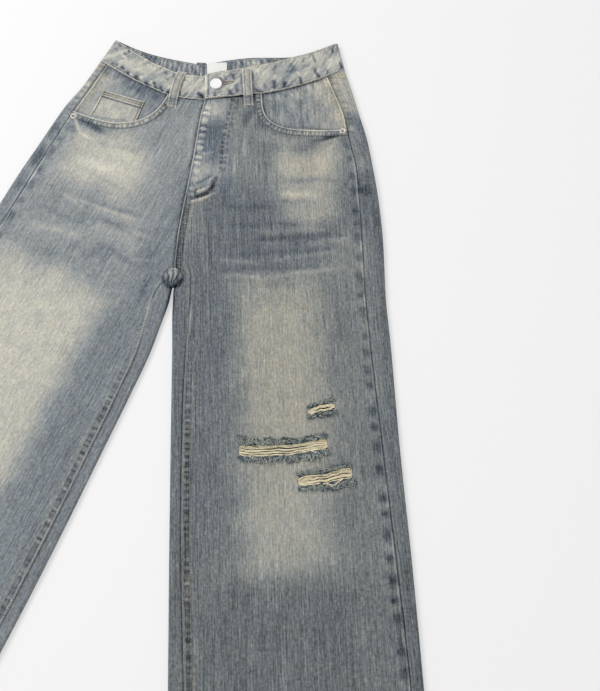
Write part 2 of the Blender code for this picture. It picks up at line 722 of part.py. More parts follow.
def buttonhole():
    """The cutter of the slit in the left waistband."""
    across, down = BUTTON_AT
    middle = LEFT.place(across + HOLE_OFFSET, down - HOLE_OFFSET * HOLE_SLOPE)
    bpy.ops.mesh.primitive_cube_add(size=1)
    made = bpy.context.object
    made.data.transform(Matrix.Diagonal((HOLE_LENGTH, HOLE_WIDTH, CUTTER_DEPTH, 1)))
    made.name = "buttonhole_cutter"
    made.location = (middle[0], middle[1], BAND_TOP)
    made.rotation_euler.z = LEFT.lean + HOLE_SLOPE
    as_cutter(made)
    return made


def as_cutter(made):
    made.hide_render = True
    made.display_type = "WIRE"
    move_to(made, CUTTERS)


def rip_shape(name, row, inset, wall, level):
    """An oval block over a rip, inset all round by some distance."""
    rip = dict(zip(RIP_COLUMNS, row))
    bpy.ops.mesh.primitive_cylinder_add(vertices=RIP_SIDES, radius=1, depth=1)
    made = bpy.context.object
    long = rip["length"] / 2 - inset
    high = rip["height"] / 2 - inset
    made.data.transform(Matrix.Diagonal((long, high, wall, 1)))
    made.name = name
    middle = LEFT.place(rip["across"], rip["down"])
    made.location = (middle[0], middle[1], level)
    made.rotation_euler.z = LEFT.lean + rip["tilt"]
    return made


def rip_cutters():
    cutters = []
    for row in RIPS:
        made = rip_shape("rip_cutter_" + row[0], row, 0.0, CUTTER_DEPTH, LEG_TOP)
        as_cutter(made)
        cutters.append(made)
    return cutters


def rip_threads(thread):
    """The layer of loose threads and fringe that still spans each rip."""
    level = LEG_TOP - DENIM / 2
    for row in RIPS:
        made = rip_shape("rip_threads_" + row[0], row, SEAM_GAP, RIP_THREADS, level)
        made.data.materials.append(thread)
        move_to(made, PARTS)


def label(cloth):
    """A blank label inside the back of the waistband."""
    width, height = LABEL_SIZE
    across, down = LABEL_AT
    corners = np.array([(-1, -1), (1, -1), (1, 1), (-1, 1)]) / 2 * (width, height)
    outline = LEFT.place(across + corners[:, 0], down + corners[:, 1])
    flat_piece("label", outline, SEAT_BASE + DOUBLED + SEAM_GAP, LABEL_WALL, cloth)


def sheet(name, points, wall, finish, keep=None, flip=False, outwards=False):
    """A cloth piece: a surface through the grid of points, thickened inwards or outwards."""
    rows, columns = points.shape[:2]
    if keep is None:
        keep = np.ones((rows - 1, columns - 1), bool)
    corner = np.arange(rows * columns).reshape(rows, columns)
    quads = np.stack(
        [corner[:-1, :-1], corner[1:, :-1], corner[1:, 1:], corner[:-1, 1:]], axis=-1
    )[keep]
    if flip:
        quads = quads[:, ::-1]
    used, faces = np.unique(quads, return_inverse=True)
    mesh = bpy.data.meshes.new(name)
    mesh.from_pydata(points.reshape(-1, 3)[used].tolist(), [], faces.reshape(quads.shape).tolist())
    mesh.validate()
    made = keep_object(name, mesh, finish)
    solid = made.modifiers.new("Cloth wall", "SOLIDIFY")
    solid.thickness = wall
    solid.offset = 1 if outwards else -1
    return made


def keep_object(name, mesh, finish):
    mesh.materials.append(finish)
    made = bpy.data.objects.new(name, mesh)
    PARTS.objects.link(made)
    return made


def cut(piece, cutter):
    hole = piece.modifiers.new("Cut by " + cutter.name, "BOOLEAN")
    hole.operation = "DIFFERENCE"
    hole.object = cutter


def start():
    """Clears the scene and makes the two collections."""
    for old in list(bpy.data.objects):
        bpy.data.objects.remove(old, do_unlink=True)
    parts = bpy.data.collections.new("Ripped jeans")
    cutters = bpy.data.collections.new("Cutters")
    bpy.context.scene.collection.children.link(parts)
    bpy.context.scene.collection.children.link(cutters)
    return parts, cutters


PARTS, CUTTERS = start()


def main():
    denim = material("denim", (0.24, 0.29, 0.34), 0.9)
    pale_denim = material("pale denim", (0.42, 0.43, 0.42), 0.9)
    thread = material("loose thread", (0.62, 0.58, 0.48), 0.95)
    metal = material("white metal", (0.75, 0.75, 0.73), 0.3, 1.0)
    tape = material("label cloth", (0.85, 0.85, 0.83), 0.8)
    front_panel(LEFT, denim, rip_cutters())
    front_panel(RIGHT, denim, [])
    waistband(LEFT, denim, [buttonhole()])
    waistband(RIGHT, denim, [])
    for half in (LEFT, RIGHT):
        back_panel(half, denim)
        yoke(half, denim)
        pocket_facing(half, denim)
        back_pocket(half, denim)
        front_loop(half, denim)
    coin_pocket(pale_denim)
    back_loops(denim)
    button(metal)
    disc("rivet_left", RIVET_RADIUS, RIVET_DEPTH, LEFT.place(*LEFT_RIVET),
         SEAT_TOP + SEAM_GAP, metal)
    disc("rivet_right", RIVET_RADIUS, RIVET_DEPTH, RIGHT.place(*RIGHT_RIVET),
         SEAT_TOP + SEAM_GAP, metal)
    rip_threads(thread)
    label(tape)


main()
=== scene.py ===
"""The looks of ripped wide-leg jeans that lie flat, front up: faded streaky denim with whiskers,
puckered seams, tan stitching, a white shank button and three torn slits across one knee.

Metres, in the frame's own axes. Each half of the garment (a leg and its side of the seat) has
directions of its own: "across" runs outwards from the crotch, square to the leg, and "down" runs
along the leg to the hem. A cloth piece is a grid over those directions. Its tone, from 0 for
black to 1 for white, is kept as a point attribute, and its UV map is its flat cut in metres.
"""

import math

import bpy
import numpy as np
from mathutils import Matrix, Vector


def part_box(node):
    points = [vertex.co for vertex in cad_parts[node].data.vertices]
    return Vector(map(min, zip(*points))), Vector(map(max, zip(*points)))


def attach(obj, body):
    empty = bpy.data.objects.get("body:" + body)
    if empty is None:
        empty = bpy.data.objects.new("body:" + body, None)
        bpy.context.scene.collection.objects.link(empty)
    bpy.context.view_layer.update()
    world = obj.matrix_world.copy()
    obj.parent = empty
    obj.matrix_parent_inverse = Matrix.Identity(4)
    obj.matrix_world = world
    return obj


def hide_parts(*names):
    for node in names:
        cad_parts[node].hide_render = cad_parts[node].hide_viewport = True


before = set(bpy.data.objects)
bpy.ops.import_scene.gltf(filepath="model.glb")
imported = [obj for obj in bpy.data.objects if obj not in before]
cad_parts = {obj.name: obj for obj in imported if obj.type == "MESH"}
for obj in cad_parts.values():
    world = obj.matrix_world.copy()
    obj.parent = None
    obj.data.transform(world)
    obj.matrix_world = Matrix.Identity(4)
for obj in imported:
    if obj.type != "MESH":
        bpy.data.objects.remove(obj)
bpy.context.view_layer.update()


def mm(rows, plain=0):
    """Rows given in millimetres, in metres. Their last few columns may be plain numbers."""
    rows = np.array(rows, float)
    rows[:, : rows.shape[1] - plain] /= 1000
    return rows


# ------------------------------------------------------------------ cloth and levels
DENIM = 0.0013
DOUBLED = 0.0026  # the waistband's two layers
LIGHT_DENIM = 0.0010  # inside the pocket mouths
LEG_TOP = 0.0064  # outer faces above the surface: a leg, the seat, the waistband
SEAT_TOP = 0.0073
BAND_TOP = 0.0079
SEAT_BASE = 0.0017  # the back's inner face on the seat, which lies on the back pockets
SEAT_ENDS = (-0.050, 0.060)  # down: the seat's levels pass into the leg's between these
EDGE_ROUND = 0.0040  # radius across a folded edge
UNDER_FLAT = 0.012  # how far the back's inner columns lie flat, beside the centre back
CROTCH_TURN = 0.008  # down: where the back starts to turn round the leg's inner edge


# ------------------------------------------------------------------ outline
CROTCH = (0.1089, 0.1511)
INSEAM = 0.690
FRONT_RISE = 0.2802
BACK_RISE = 0.300
BAND_HEIGHT = 0.044
FRONT_SLANT = 0.095  # X for each metre up the centre front
BACK_SLANT = 0.052
YOKE_DEPTH = (0.24, 0.12)  # share of the seat, at the centre back and at the side
FLY_UNDERLAP = 0.012  # the right front runs this far on under the left one
UNDERLAP_ENDS = (0.020, 0.060)
FLY_LIFT = 0.0016  # and lifts the left one
FLY_LIFT_ENDS = (-0.012, 0.018)
BAND_LIFT = 0.0029  # as the waistband's right end lifts its left one
BAND_UNDERLAP = 0.045
LIFT_FADE = 0.060

# Millimetres: how far the centre front strays from its slanting line, at heights over the crotch
FRONT_BOW = mm((
    (0, 0), (7, -4.8), (14, -6.9), (40, -8.1), (65, -8.6),
    (110, -7.4), (142, -5.7), (182, -4), (230, -3.4), (255, -2.8),
    (280.2, 0),
))
# A leg, in millimetres: its four lines across at places down it. "side" is the side seam, "fold"
# the outer folded edge and "turn" the inner one.
LEG_COLUMNS = ("down", "inseam", "side", "fold", "turn")
LEFT_LEG = mm((
    (-330, 0, 215.5, 246, 0), (-290, 0, 229, 255.5, 0), (-246, 0, 242, 264.5, 0),
    (-205, 0, 247, 273, 0), (-160, 0, 254, 278.2, 0), (-110, 0, 255.3, 282.5, 0),
    (-50, 0, 255.5, 284.5, 0), (0, 0, 254.8, 283.5, 0), (14, 14, 254.6, 283, -5),
    (40, 16.4, 254.5, 282.2, -7.2), (110, 10.8, 256.2, 283.5, -7.5), (250, 6, 262.2, 284.5, -8.5),
    (400, 6.5, 269, 288, -9), (500, 9, 273.2, 289.3, -9), (690, 13, 276, 290, -8.5),
))
RIGHT_LEG = mm((
    (-310, 0, 250, 262.8, 0), (-264, 0, 252.5, 264.5, 0), (-215, 0, 255, 267.8, 0),
    (-180, 0, 257.5, 273.5, 0), (-120, 0, 259.7, 276.7, 0), (-40, 0, 260.3, 279.8, 0),
    (0, 0, 260.5, 280.2, 0), (14, 12, 260.8, 280.2, 0), (40, 16, 261.5, 280.2, -6),
    (70, 10.7, 262, 280.1, -10), (110, 1.8, 262.5, 280, -15.2), (180, -3.5, 262.8, 280, -18.5),
    (250, -6, 263, 280, -20.5), (400, -10, 264, 280, -24.5), (690, -9, 265, 280, -24),
))
# The waistband's edges in millimetres, from its front end to the folded edge at the side, and
# from there to the centre back: (across, down) of its seam and of its top
LEFT_FRONT_BAND = mm((
    (38.3, -278.9, 39.2, -321.4), (91.6, -283.6, 95, -331), (143.2, -290.1, 148, -342.5),
    (196, -304, 200, -356.5), (244, -322.8, 236.2, -370.5),
))
LEFT_BACK_BAND = mm((
    (244, -323.1, 236.2, -371.7), (180, -308, 180, -352), (100, -308, 100, -352),
))
RIGHT_FRONT_BAND = mm((
    (89.2, -266.8, 111.1, -303.4), (135, -254, 144, -293.5), (197.6, -255.1, 196.9, -295.1),
    (260.5, -264.2, 257.5, -306.9),
))
RIGHT_BACK_BAND = mm((
    (260.5, -264.5, 257.5, -308.7), (210, -268, 220, -307), (170, -271.5, 180, -310.5),
))
RIGHT_BAND_END = (0.0515, -0.2923, 0.0724, -0.3325)  # where it ends under the left one

FACING_REACH = 0.022  # how far a pocket's facing runs on under the front
FACING_TUCK = 0.0020
# a pocket's mouth: across at the waistband, down at the side seam, and how square its corner is
LEFT_MOUTH = (0.1225, -0.2190, 3.6)
RIGHT_MOUTH = (0.1435, -0.1705, 2.6)

LOOP_WIDTH = 0.0138
LOOP_LENGTH = 0.062
FRONT_LOOPS = {"left": (0.1030, -0.2665, -0.03), "right": (0.1296, -0.2355, 0.26)}  # foot, lean
LOOP_BEND = {"left": 0.0, "right": -0.0040}  # how far its top strays sideways
BACK_LOOP_AT = {"left": (0.170, -0.3185), "right": (0.195, -0.2765)}
CENTRE_LOOP_UP = 0.0185  # its middle above the waistband's seam
COIN_POCKET = ((0.170, -0.2278), (0.235, -0.2212), (0.232, -0.158), (0.163, -0.158))
BACK_POCKET = (0.140, 0.150, 0.120, 0.022)  # width, height, width at the bottom, its point
BACK_POCKET_AT = (0.145, -0.212)
BUTTON_AT = (0.0553, -0.3028)
HOLE_LENGTH = 0.030
HOLE_OFFSET = 0.0130
HOLE_SLOPE = 0.12
LABEL_SIZE = (0.030, 0.032)
LABEL_AT = (0.0565, -0.3290)


# ------------------------------------------------------------------ wash and wear, and painted light
# Tones are brightness out of 255, and warmth is 0 for blue-grey and 1 for tan.
# The right half's base tone is set higher than the left's as painted light: the light falls
# brighter on that side.
BASE_TONE = {"left": 114, "right": 131}
WARMTH = {"left": 0.42, "right": 0.12}
# A fade is a soft-edged patch: across from and to, down from and to, how soft it is across and
# down (all in millimetres), and its tone.
LEFT_FADES = mm((
    (78, 200, 4, 402, 50, 50, 36), (205, 270, -40, 620, 50, 100, 13),
    (30, 75, 150, 420, 40, 80, 5), (98, 176, 45, 398, 40, 50, 10),
    (140, 222, -192, -70, 44, 34, 42), (95, 160, -192, -130, 50, 40, 12),
    (-20, 105, -300, -150, 50, 90, 22), (-40, 34, -300, -60, 30, 50, 18),
    (195, 262, -330, -130, 40, 60, 16), (200, 262, -60, 10, 50, 50, 12),
    (226, 300, -340, -250, 8, 20, 40), (112, 208, -224, -202, 14, 14, 25),
    (214, 238, -196, -168, 12, 12, 12), (190, 310, 400, 750, 50, 80, -7),
), 1)
RIGHT_FADES = mm((
    (60, 262, -290, 60, 60, 40, 14), (112, 236, -158, -70, 50, 44, 32),
    (130, 205, -138, -85, 40, 36, 8), (70, 260, 60, 420, 44, 40, 42),
    (90, 230, 90, 400, 40, 60, 14), (150, 262, -235, -165, 50, 40, 14),
    (249, 300, -300, -180, 6, 40, 24), (72, 150, -58, -4, 30, 30, 12),
), 1)
UNDER_FADES = mm((
    (70, 230, -230, -40, 80, 90, 26), (85, 195, 60, 420, 70, 120, 34),
), 1)
# Creases and whiskers: a line with a soft cross-section. The height lifts or sinks the cloth and
# the tone lightens or darkens it. In millimetres: across and down of both ends, width and height.
LEFT_CREASES = mm((
    (243, -214, 189, -200.5, 3, -1.6, -52), (238, -210, 208, -195.5, 2.4, 1.2, 30),
    (232, -203, 214, -185, 3, 0.6, 27), (52, -148, 45, -125, 2.6, -1.4, -44),
    (45, -125, 27, -117.5, 2.6, -1.4, -48), (17, -111.5, 46, -119.5, 2, 1.2, 40),
    (22, -131, 41, -129, 4.2, 1, 20), (37, -151, 50, -152, 2.2, -0.8, -24),
    (112, -262, 92, -230, 5, -0.8, -30), (117, -254, 99, -228, 3.4, 0.6, 22),
    (93, -236, 88, -175, 2.4, -0.6, -24), (98, -234, 93, -180, 3, 0.5, 24),
    (81, -190, 78, -148, 1.4, 0.5, 20), (40, -75, 42, 85, 1.3, 0.4, 22),
    (42, -75, 44, 85, 1.3, -0.3, -20), (126, -164, 226, -160, 13, 0.5, 15),
    (105, -167, 140, -165, 4, -0.3, -10), (135, -139, 236, -138, 4.2, -0.6, -22),
    (134, -117, 208, -114, 5.8, 0.6, 30), (140, -105, 190, -106, 3.5, -0.4, -17),
    (55, -102, 150, -98, 4.5, -0.6, -16), (60, -72, 190, -69, 4.2, -0.5, -17),
    (100, -60, 215, -60, 5, 0.4, 18), (45, -48, 150, -42, 3, 0.5, 18),
    (52, -43, 235, -54, 4, -0.6, -22), (170, -36, 246, -48, 4.4, 0.4, 21),
    (50, -20, 120, -14, 3.4, 0.6, 22), (120, -14, 230, -27, 3.4, 0.5, 21),
    (60, -27, 225, -30, 3.4, -0.4, -14), (55, 2, 120, 9, 3.6, 0.5, 22),
    (110, 10, 235, -2, 3.6, 0.5, 22), (50, -5, 210, -5, 3, -0.4, -14),
    (100, 22, 190, 19, 3.6, -0.3, -8), (74, -150, 60, -90, 4, -0.5, -12),
    (90, -205, 78, -140, 4, 0.4, 10), (260.5, -128, 270, -109, 8, -1, -34),
    (256, -146, 258, -112, 3, -1, -28), (262, -175, 272, -150, 4, 0.6, 24),
    (250, -232, 262, -200, 5, 0.4, 17), (280, -100, 279, 0, 3, 0.3, -14),
    (120, 120, 170, 138, 8, 0.6, 3), (60, 330, 130, 342, 9, 0.6, 3),
    (150, 430, 230, 415, 10, 0.7, 3), (30, 480, 120, 495, 10, 0.6, 2),
), 1)
RIGHT_CREASES = mm((
    (250, -166, 198, -156, 5.8, -0.3, -56), (224, -162, 196, -155, 4.2, -0.2, -30),
    (256, -167, 229, -141, 2.2, 1, 44), (233, -143, 206, -140, 2.4, 0.6, 22),
    (248, -150, 236, -138, 4, -0.8, -30), (262, -227, 270, -226, 4.5, -0.8, -34),
    (260, -137, 274, -131, 6.5, -0.8, -30), (260, -98, 273, -70, 11, -1.2, -40),
    (262, -64, 275, -58, 4, 0.5, 20), (262, -110, 274, -113, 3.5, 0.5, 27),
    (260, -42, 274, -25, 7, -0.5, -24), (260, -196, 268, -190, 4, -0.4, -20),
    (135, -152, 205, -135, 4.5, -0.4, -17), (125, -133, 195, -144, 8, 0.4, 12),
    (130, -113, 215, -106, 7.5, 0.5, 12), (150, -104, 220, -99, 6, 0.4, 10),
    (110, -83, 200, -93, 4, -0.3, -12), (70, -62, 180, -48, 4.5, -0.4, -16),
    (85, -50, 210, -44, 3, 0.5, 22), (50, -24, 150, -37, 4, -0.5, -17),
    (150, -14, 240, -18, 4, -0.4, -12), (50, 12, 130, 0, 4.5, -0.4, -16),
    (145, 4, 230, 12, 4, 0.4, 15), (120, 30, 160, 14, 4, -0.3, -12),
    (33, 10, 30, 60, 5, -0.4, -17), (72, -255, 50, -150, 6, -0.8, -24),
    (58, -150, 30, -50, 5, -0.5, -10), (90, -230, 66, -160, 3, 0.4, 14),
    (125, -205, 118, -150, 5, -0.3, -10), (150, 120, 135, 145, 6, -0.4, -12),
    (181, -24, 112, -37, 11, -0.5, -16), (129, 12, 98, 17, 13, -0.4, -18),
    (235, 21, 131, -5, 9, 0.5, 13), (103, -24, 55, -37, 5, 0.5, 13),
    (72, 7, 34, -8, 2.4, 0.4, 16), (211, -45, 157, -36, 3.2, 0.4, 15),
    (138, -32, 54, -44, 3.6, -0.3, -13), (218, 50, 140, 35, 7, -0.4, -9),
    (64, -18, 34, 4, 15, -0.4, -11), (60, 300, 200, 330, 11, 0.7, 3),
    (20, 420, 160, 445, 11, 0.7, 3), (120, 540, 250, 560, 12, 0.7, 3),
), 1)
# The waistband's folds, likewise: along it from its front end and up from its lower edge
LEFT_BAND_FOLDS = mm((
    (20, 36, 28, 24, 2, -0.9, -87), (27, 38, 31, 27, 1.5, -0.9, -56),
    (38, 40, 43, 26, 2, -0.9, -87), (45, 21, 50, 4, 3, -0.9, -59),
    (34, 13, 41, 0, 2, -0.9, -81), (15, 11, 15, 1, 2, -0.9, -68),
    (25, 10, 25, 1, 1.5, -0.4, -53), (52, 41, 56, 0, 2, -0.9, -62),
    (68, 44, 70, 22, 2, -0.9, -71), (72, 8, 89, 0, 2.4, -0.9, -68),
    (86, 18, 92, 4, 2, -0.4, -46), (75, 44, 82, 24, 1.4, 0.4, 34),
    (87, 40, 83, 23, 1.4, 0.4, 34), (105, 28, 99, 18, 2, 0.4, 53),
    (103, 49, 101, 30, 2, -0.4, -40), (101, 23, 105, 3, 3, -0.9, -93),
    (118, 15, 120, 1, 3, -0.9, -96), (116, 31, 140, 27, 3, -0.4, -43),
    (125, 46, 133, 28, 3.9, -0.4, -46), (135, 28, 144, 14, 1.6, 0.4, 46),
    (141, 18, 147, -3, 2, -0.9, -102), (148, 48, 146, 38, 2, -0.9, -62),
    (143, 31, 160, 31, 3, -0.4, -43), (161, 48, 169, 29, 2, -0.9, -93),
    (164, 24, 176, -2, 2, -0.9, -102), (187, 48, 190, 36, 1.6, -0.4, -43),
    (187, 13, 188, 2, 1.5, -0.9, -71), (200, 46, 206, 34, 2, -0.9, -62),
    (211, 15, 212, 3, 2, -0.9, -78),
), 1)
RIGHT_BAND_FOLDS = mm((
    (88, 37, 90, 28, 1.8, -0.9, -110), (87, 28, 89, 10, 1.6, -0.6, -40),
    (58, 44, 51, 42, 1.6, -0.9, -62), (57, 13, 48, 2, 3.2, -0.9, -118),
    (84, 30, 73, 30, 1.2, -0.4, -53), (90, 11, 82, 2, 2.2, -0.9, -102),
    (107, 3, 98, 2, 3, -0.9, -87), (107, 37, 98, 33, 2, -0.4, -43),
    (119, 9, 110, -1, 2, -0.9, -78), (119, 25, 108, 22, 2, -0.4, -43),
    (124, 35, 115, 31, 1.6, -0.4, -46), (132, 12, 121, 1, 2.2, -0.9, -78),
    (137, 11, 129, 3, 2.2, 0.9, 56), (145, 5, 132, -1, 3, -0.9, -90),
    (159, 33, 134, 31, 3.9, 0.4, 31), (155, 10, 148, 7, 2, 0.4, 50),
    (163, 7, 152, 1, 3, -0.9, -99), (173, 6, 163, 4, 2, 0.4, 53),
    (177, 7, 171, 2, 2.2, -0.9, -84), (166, 36, 159, 31, 1.5, -0.4, -46),
    (190, 11, 181, 6, 2.4, -0.9, -96), (196, 8, 190, 9, 2, 0.4, 46),
    (203, 28, 186, 24, 2, 0.4, 37), (202, 43, 190, 36, 2.2, -0.9, -84),
    (200, 32, 192, 29, 1.5, -0.4, -53), (200, 11, 194, 6, 2, -0.4, -56),
    (207, 6, 199, 6, 2, -0.4, -53), (214, 41, 208, 36, 2, -0.4, -53),
    (216, 30, 208, 29, 1.5, -0.4, -46),
), 1)
# Where the crotch pulls, a pressed line starts beside the knot and runs into the inseam
PULL_LINES = {
    "left": mm(((12.5, -19), (17.2, -3), (18.2, 13), (17, 33), (15.8, 48))),
    "right": mm(((10, 12), (16, 21), (17, 32), (16, 43), (14, 54))),
}

# Rips: the middle of each, its half length and half height, how it tilts, how much higher it is
# at its outer end, how far it sags in the middle, how square its ends are, and how long its
# fringe is above and below, at its inner and its outer end
RIP_COLUMNS = ("across", "down", "long", "high", "tilt", "flare", "bend", "square",
               "above0", "above1", "below0", "below1")
RIPS = {name: dict(zip(RIP_COLUMNS, row)) for name, row in {
    "upper": (0.1862, 0.1962, 0.0186, 0.0056, -0.19, 0.20, -0.0008, 2.2, 0.55, 0.75, 0.7, 0.9),
    "middle": (0.1355, 0.2430, 0.0566, 0.0078, -0.034, 0.00, 0.0042, 8.0, 1.45, 0.75, 1.0, 1.3),
    "lower": (0.1870, 0.2835, 0.0345, 0.0074, -0.13, 0.10, 0.0014, 5.0, 0.9, 0.75, 1.0, 1.4),
}.items()}


# ------------------------------------------------------------------ shader maths
class Wire:
    """A socket in a node tree. Arithmetic on it adds Math nodes."""

    def __init__(self, tree, socket):
        self.tree = tree
        self.socket = socket

    def node(self, kind, settings=None, **values):
        """Any node: its settings are set first, then its sockets by name (spaces as _)."""
        made = self.tree.nodes.new(kind)
        for name, value in (settings or {}).items():
            if name == "stops":
                ramp = made.color_ramp
                ramp.elements[0].position, ramp.elements[0].color = value[0]
                ramp.elements[1].position, ramp.elements[1].color = value[-1]
                for position, colour in value[1:-1]:
                    ramp.elements.new(position).color = colour
            else:
                setattr(made, name, value)
        for name, value in values.items():
            slot = name[1:] if name[0] == "_" else name.replace("_", " ")
            socket = made.inputs[int(slot)] if slot.isdigit() else made.inputs[slot]
            if isinstance(value, Wire):
                self.tree.links.new(value.socket, socket)
            else:
                socket.default_value = value
        return made

    def out(self, kind, settings=None, output=0, **values):
        """One output of a new node."""
        return Wire(self.tree, self.node(kind, settings, **values).outputs[output])

    def math(self, operation, *values):
        named = {"_%d" % i: value for i, value in enumerate(values)}
        return self.out("ShaderNodeMath", {"operation": operation}, **named)

    def __add__(self, other):
        return self.math("ADD", self, other)

    __radd__ = __add__

    def __sub__(self, other):
        return self.math("SUBTRACT", self, other)

    def __rsub__(self, other):
        return self.math("SUBTRACT", other, self)

    def __mul__(self, other):
        return self.math("MULTIPLY", self, other)

    __rmul__ = __mul__

    def __pow__(self, power):
        return self.math("POWER", self, power)

    def above(self, level, soft):
        """0 below the level and 1 above it, over a soft width."""
        values = {"Value": self, "From_Min": level - soft / 2, "From_Max": level + soft / 2}
        return self.out("ShaderNodeMapRange", {"interpolation_type": "SMOOTHSTEP"}, "Result",
                        **values)

    def scaled(self, *factors):
        """This vector times a vector."""
        return self.out("ShaderNodeVectorMath", {"operation": "MULTIPLY"}, _0=self, _1=factors)

    def noise(self, scale=1.0, detail=2.0, roughness=0.5):
        """Noise at this vector, about 0.5."""
        values = {"Vector": self, "Scale": scale, "Detail": detail, "Roughness": roughness}
        return self.out("ShaderNodeTexNoise", None, "Fac", **values)

    def mixed(self, first, second):
        """The first colour where this is 0, the second where it is 1."""
        settings = {"data_type": "RGBA"}
        return self.out("ShaderNodeMix", settings, 2, Factor=self, _6=first, _7=second)

    def attribute(self, name):
        return self.out("ShaderNodeAttribute", {"attribute_name": name}, "Fac")


def linear(red, green, blue):
    """A colour given in 0 to 255 as it looks, as the shader takes it."""
    share = np.array([red, green, blue]) / 255
    low, high = share / 12.92, ((share + 0.055) / 1.055) ** 2.4
    return (*np.where(share <= 0.04045, low, high).tolist(), 1.0)


def new_material(name, where):
    """An empty material: itself, its tree as a Wire, its shader, and where a point is: on the
    piece's flat cut ("UV") or in the part ("Object")."""
    made = bpy.data.materials.new(name)
    made.use_nodes = True
    tree = Wire(made.node_tree, None)
    shader = made.node_tree.nodes["Principled BSDF"]
    if where == "UV":
        return made, tree, shader, tree.out("ShaderNodeUVMap", {"uv_map": "UVMap"}, "UV")
    return made, tree, shader, tree.out("ShaderNodeTexCoord", None, where)


def finished(tree, shader, colour, roughness, height=None, strength=0.0, depth=0.0):
    """Wires a colour and a roughness to the shader, and a bump of this strength and depth."""
    wires = {"Base Color": colour, "Roughness": roughness}
    if height:
        wires["Normal"] = tree.out("ShaderNodeBump", None, "Normal", Strength=strength,
                                   Distance=depth, Height=height)
    for name, wire in wires.items():
        tree.tree.links.new(wire.socket, shader.inputs[name])


DENIM_COLOURS = (
    (0.08, (17, 22, 32)),
    (0.24, (51, 59, 69)),
    (0.34, (76, 85, 95)),
    (0.45, (105, 113, 122)),
    (0.53, (127, 134, 139)),
    (0.60, (149, 154, 156)),
    (0.66, (168, 169, 165)),
    (0.76, (196, 195, 184)),
    (0.88, (224, 222, 208)),
)


def denim_material(name, streaks=1.0, tone_shift=0.0):
    """Faded denim. Its tone is the cloth's own, plus short streaks along the grain, sparse pale
    and dark slubs and a fine grain. The cloth's own tone picks the colour, from indigo through
    grey-blue to cream, and its warmth turns it towards tan; streaks mostly change how light it
    is."""
    made, tree, shader, uv = new_material(name, "UV")
    tone, warm = tree.attribute("tone"), tree.attribute("warm")
    long = uv.scaled(640, 9, 1).noise(detail=2.0, roughness=0.55)
    short = uv.scaled(560, 66, 1).noise(detail=1.0)
    slub = uv.scaled(520, 22, 1).noise(detail=0.0).above(0.66, 0.10)
    dark_slub = uv.scaled(480, 20, 1).noise(detail=0.0).above(0.67, 0.10)
    weft = uv.scaled(150, 620, 1).noise(detail=1.0)
    grain = uv.scaled(440, 210, 1).noise(detail=2.0, roughness=0.6)
    cloudy = uv.scaled(75, 55, 1).noise(detail=3.0, roughness=0.6)
    large = uv.scaled(22, 14, 1).noise(detail=2.0)
    blush = uv.scaled(95, 80, 1).noise(detail=1.0)
    dark = 1.0 - tone.above(0.53, 0.40) * 0.65
    streaky = (long - 0.5) * (0.36 * streaks) * dark + (short - 0.5) * (0.22 * streaks)
    slubs = (slub - dark_slub) * (0.050 * streaks) * dark
    mottled = (grain - 0.5) * (0.20 + dark * 0.18) + (weft - 0.5) * 0.10 + (cloudy - 0.5) * 0.08
    value = tone + tone_shift + streaky + slubs + mottled + (large - 0.5) * 0.06
    value = value.math("MAXIMUM", value, 0.05)
    key = tone.math("MAXIMUM", tone + tone_shift, 0.08) * 0.75 + value * 0.25
    stops = [(at, linear(*colour)) for at, colour in DENIM_COLOURS]
    ramp = tree.out("ShaderNodeValToRGB", {"stops": stops}, "Color", Fac=key)
    tint = (warm + (cloudy - 0.5) * 0.7 + (blush - 0.5) * 0.7).mixed(
        (1.0, 1.0, 1.0, 1), (1.09, 0.994, 0.82, 1)
    )
    settings = {"data_type": "RGBA", "blend_type": "MULTIPLY"}
    tinted = tree.out("ShaderNodeMix", settings, 2, Factor=1.0, _6=ramp, _7=tint)
    lit = tree.out("ShaderNodeVectorMath", {"operation": "SCALE"}, _0=tinted,
                   Scale=(value * key**-1.0) ** 2.2)
    finished(tree, shader, lit, 0.86 + (grain - 0.5) * 0.2,
             short * 0.6 + grain * 0.8 + weft * 0.4, 0.6, 0.0006)
    shader.inputs["Specular IOR Level"].default_value = 0.18
    return made


def thread_material(name, dark, light, streak, own_tone=False):
    """Twisted cotton: two tones along and across a thread, by noise on its own coordinates, and
    by the thread's own tone if it has one."""
    made, tree, shader, place = new_material(name, "Object")
    cloudy = place.noise(scale=streak, detail=3.0)
    fuzz = place.noise(scale=streak * 6, detail=2.0)
    shade = tree.attribute("tone") + (cloudy - 0.5) * 0.5 if own_tone else cloudy.above(0.5, 0.36)
    finished(tree, shader, shade.mixed(linear(*dark), linear(*light)),
             0.8 + (fuzz - 0.5) * 0.3, fuzz, 0.5, 0.0003)
    return made


def metal_material(name, colour, dull, roughness, metallic):
    """Plated metal with fine scuffs, dulled in soft patches."""
    made, tree, shader, place = new_material(name, "Object")
    dulled = place.noise(scale=500.0, detail=4.0, roughness=0.6).above(0.55, 0.3)
    scuffs = place.scaled(900, 5200, 900).noise(detail=3.0)
    finished(tree, shader, (dulled * 0.7).mixed(linear(*colour), linear(*dull)),
             roughness + dulled * 0.15 + (scuffs - 0.5) * 0.2, scuffs, 0.25, 0.0002)
    shader.inputs["Metallic"].default_value = metallic
    return made


def label_material():
    """White satin tape: a fine ribbed weave."""
    made, tree, shader, uv = new_material("label tape", "UV")
    rib = uv.scaled(500, 2600, 1).noise(detail=2.0)
    colour = rib.above(0.5, 0.6).mixed(linear(226, 226, 222), linear(246, 246, 243))
    finished(tree, shader, colour, 0.5 + (rib - 0.5) * 0.3, rib, 0.3, 0.0002)
    return made


# ------------------------------------------------------------------ small maths
def ease(share):
    """0 to 1 with level ends."""
    share = np.clip(share, 0.0, 1.0)
    return share * share * (3 - 2 * share)


def hump(distance, width):
    """1 at distance 0, falling off as a bell of this half width."""
    return np.exp(-((distance / width) ** 2))


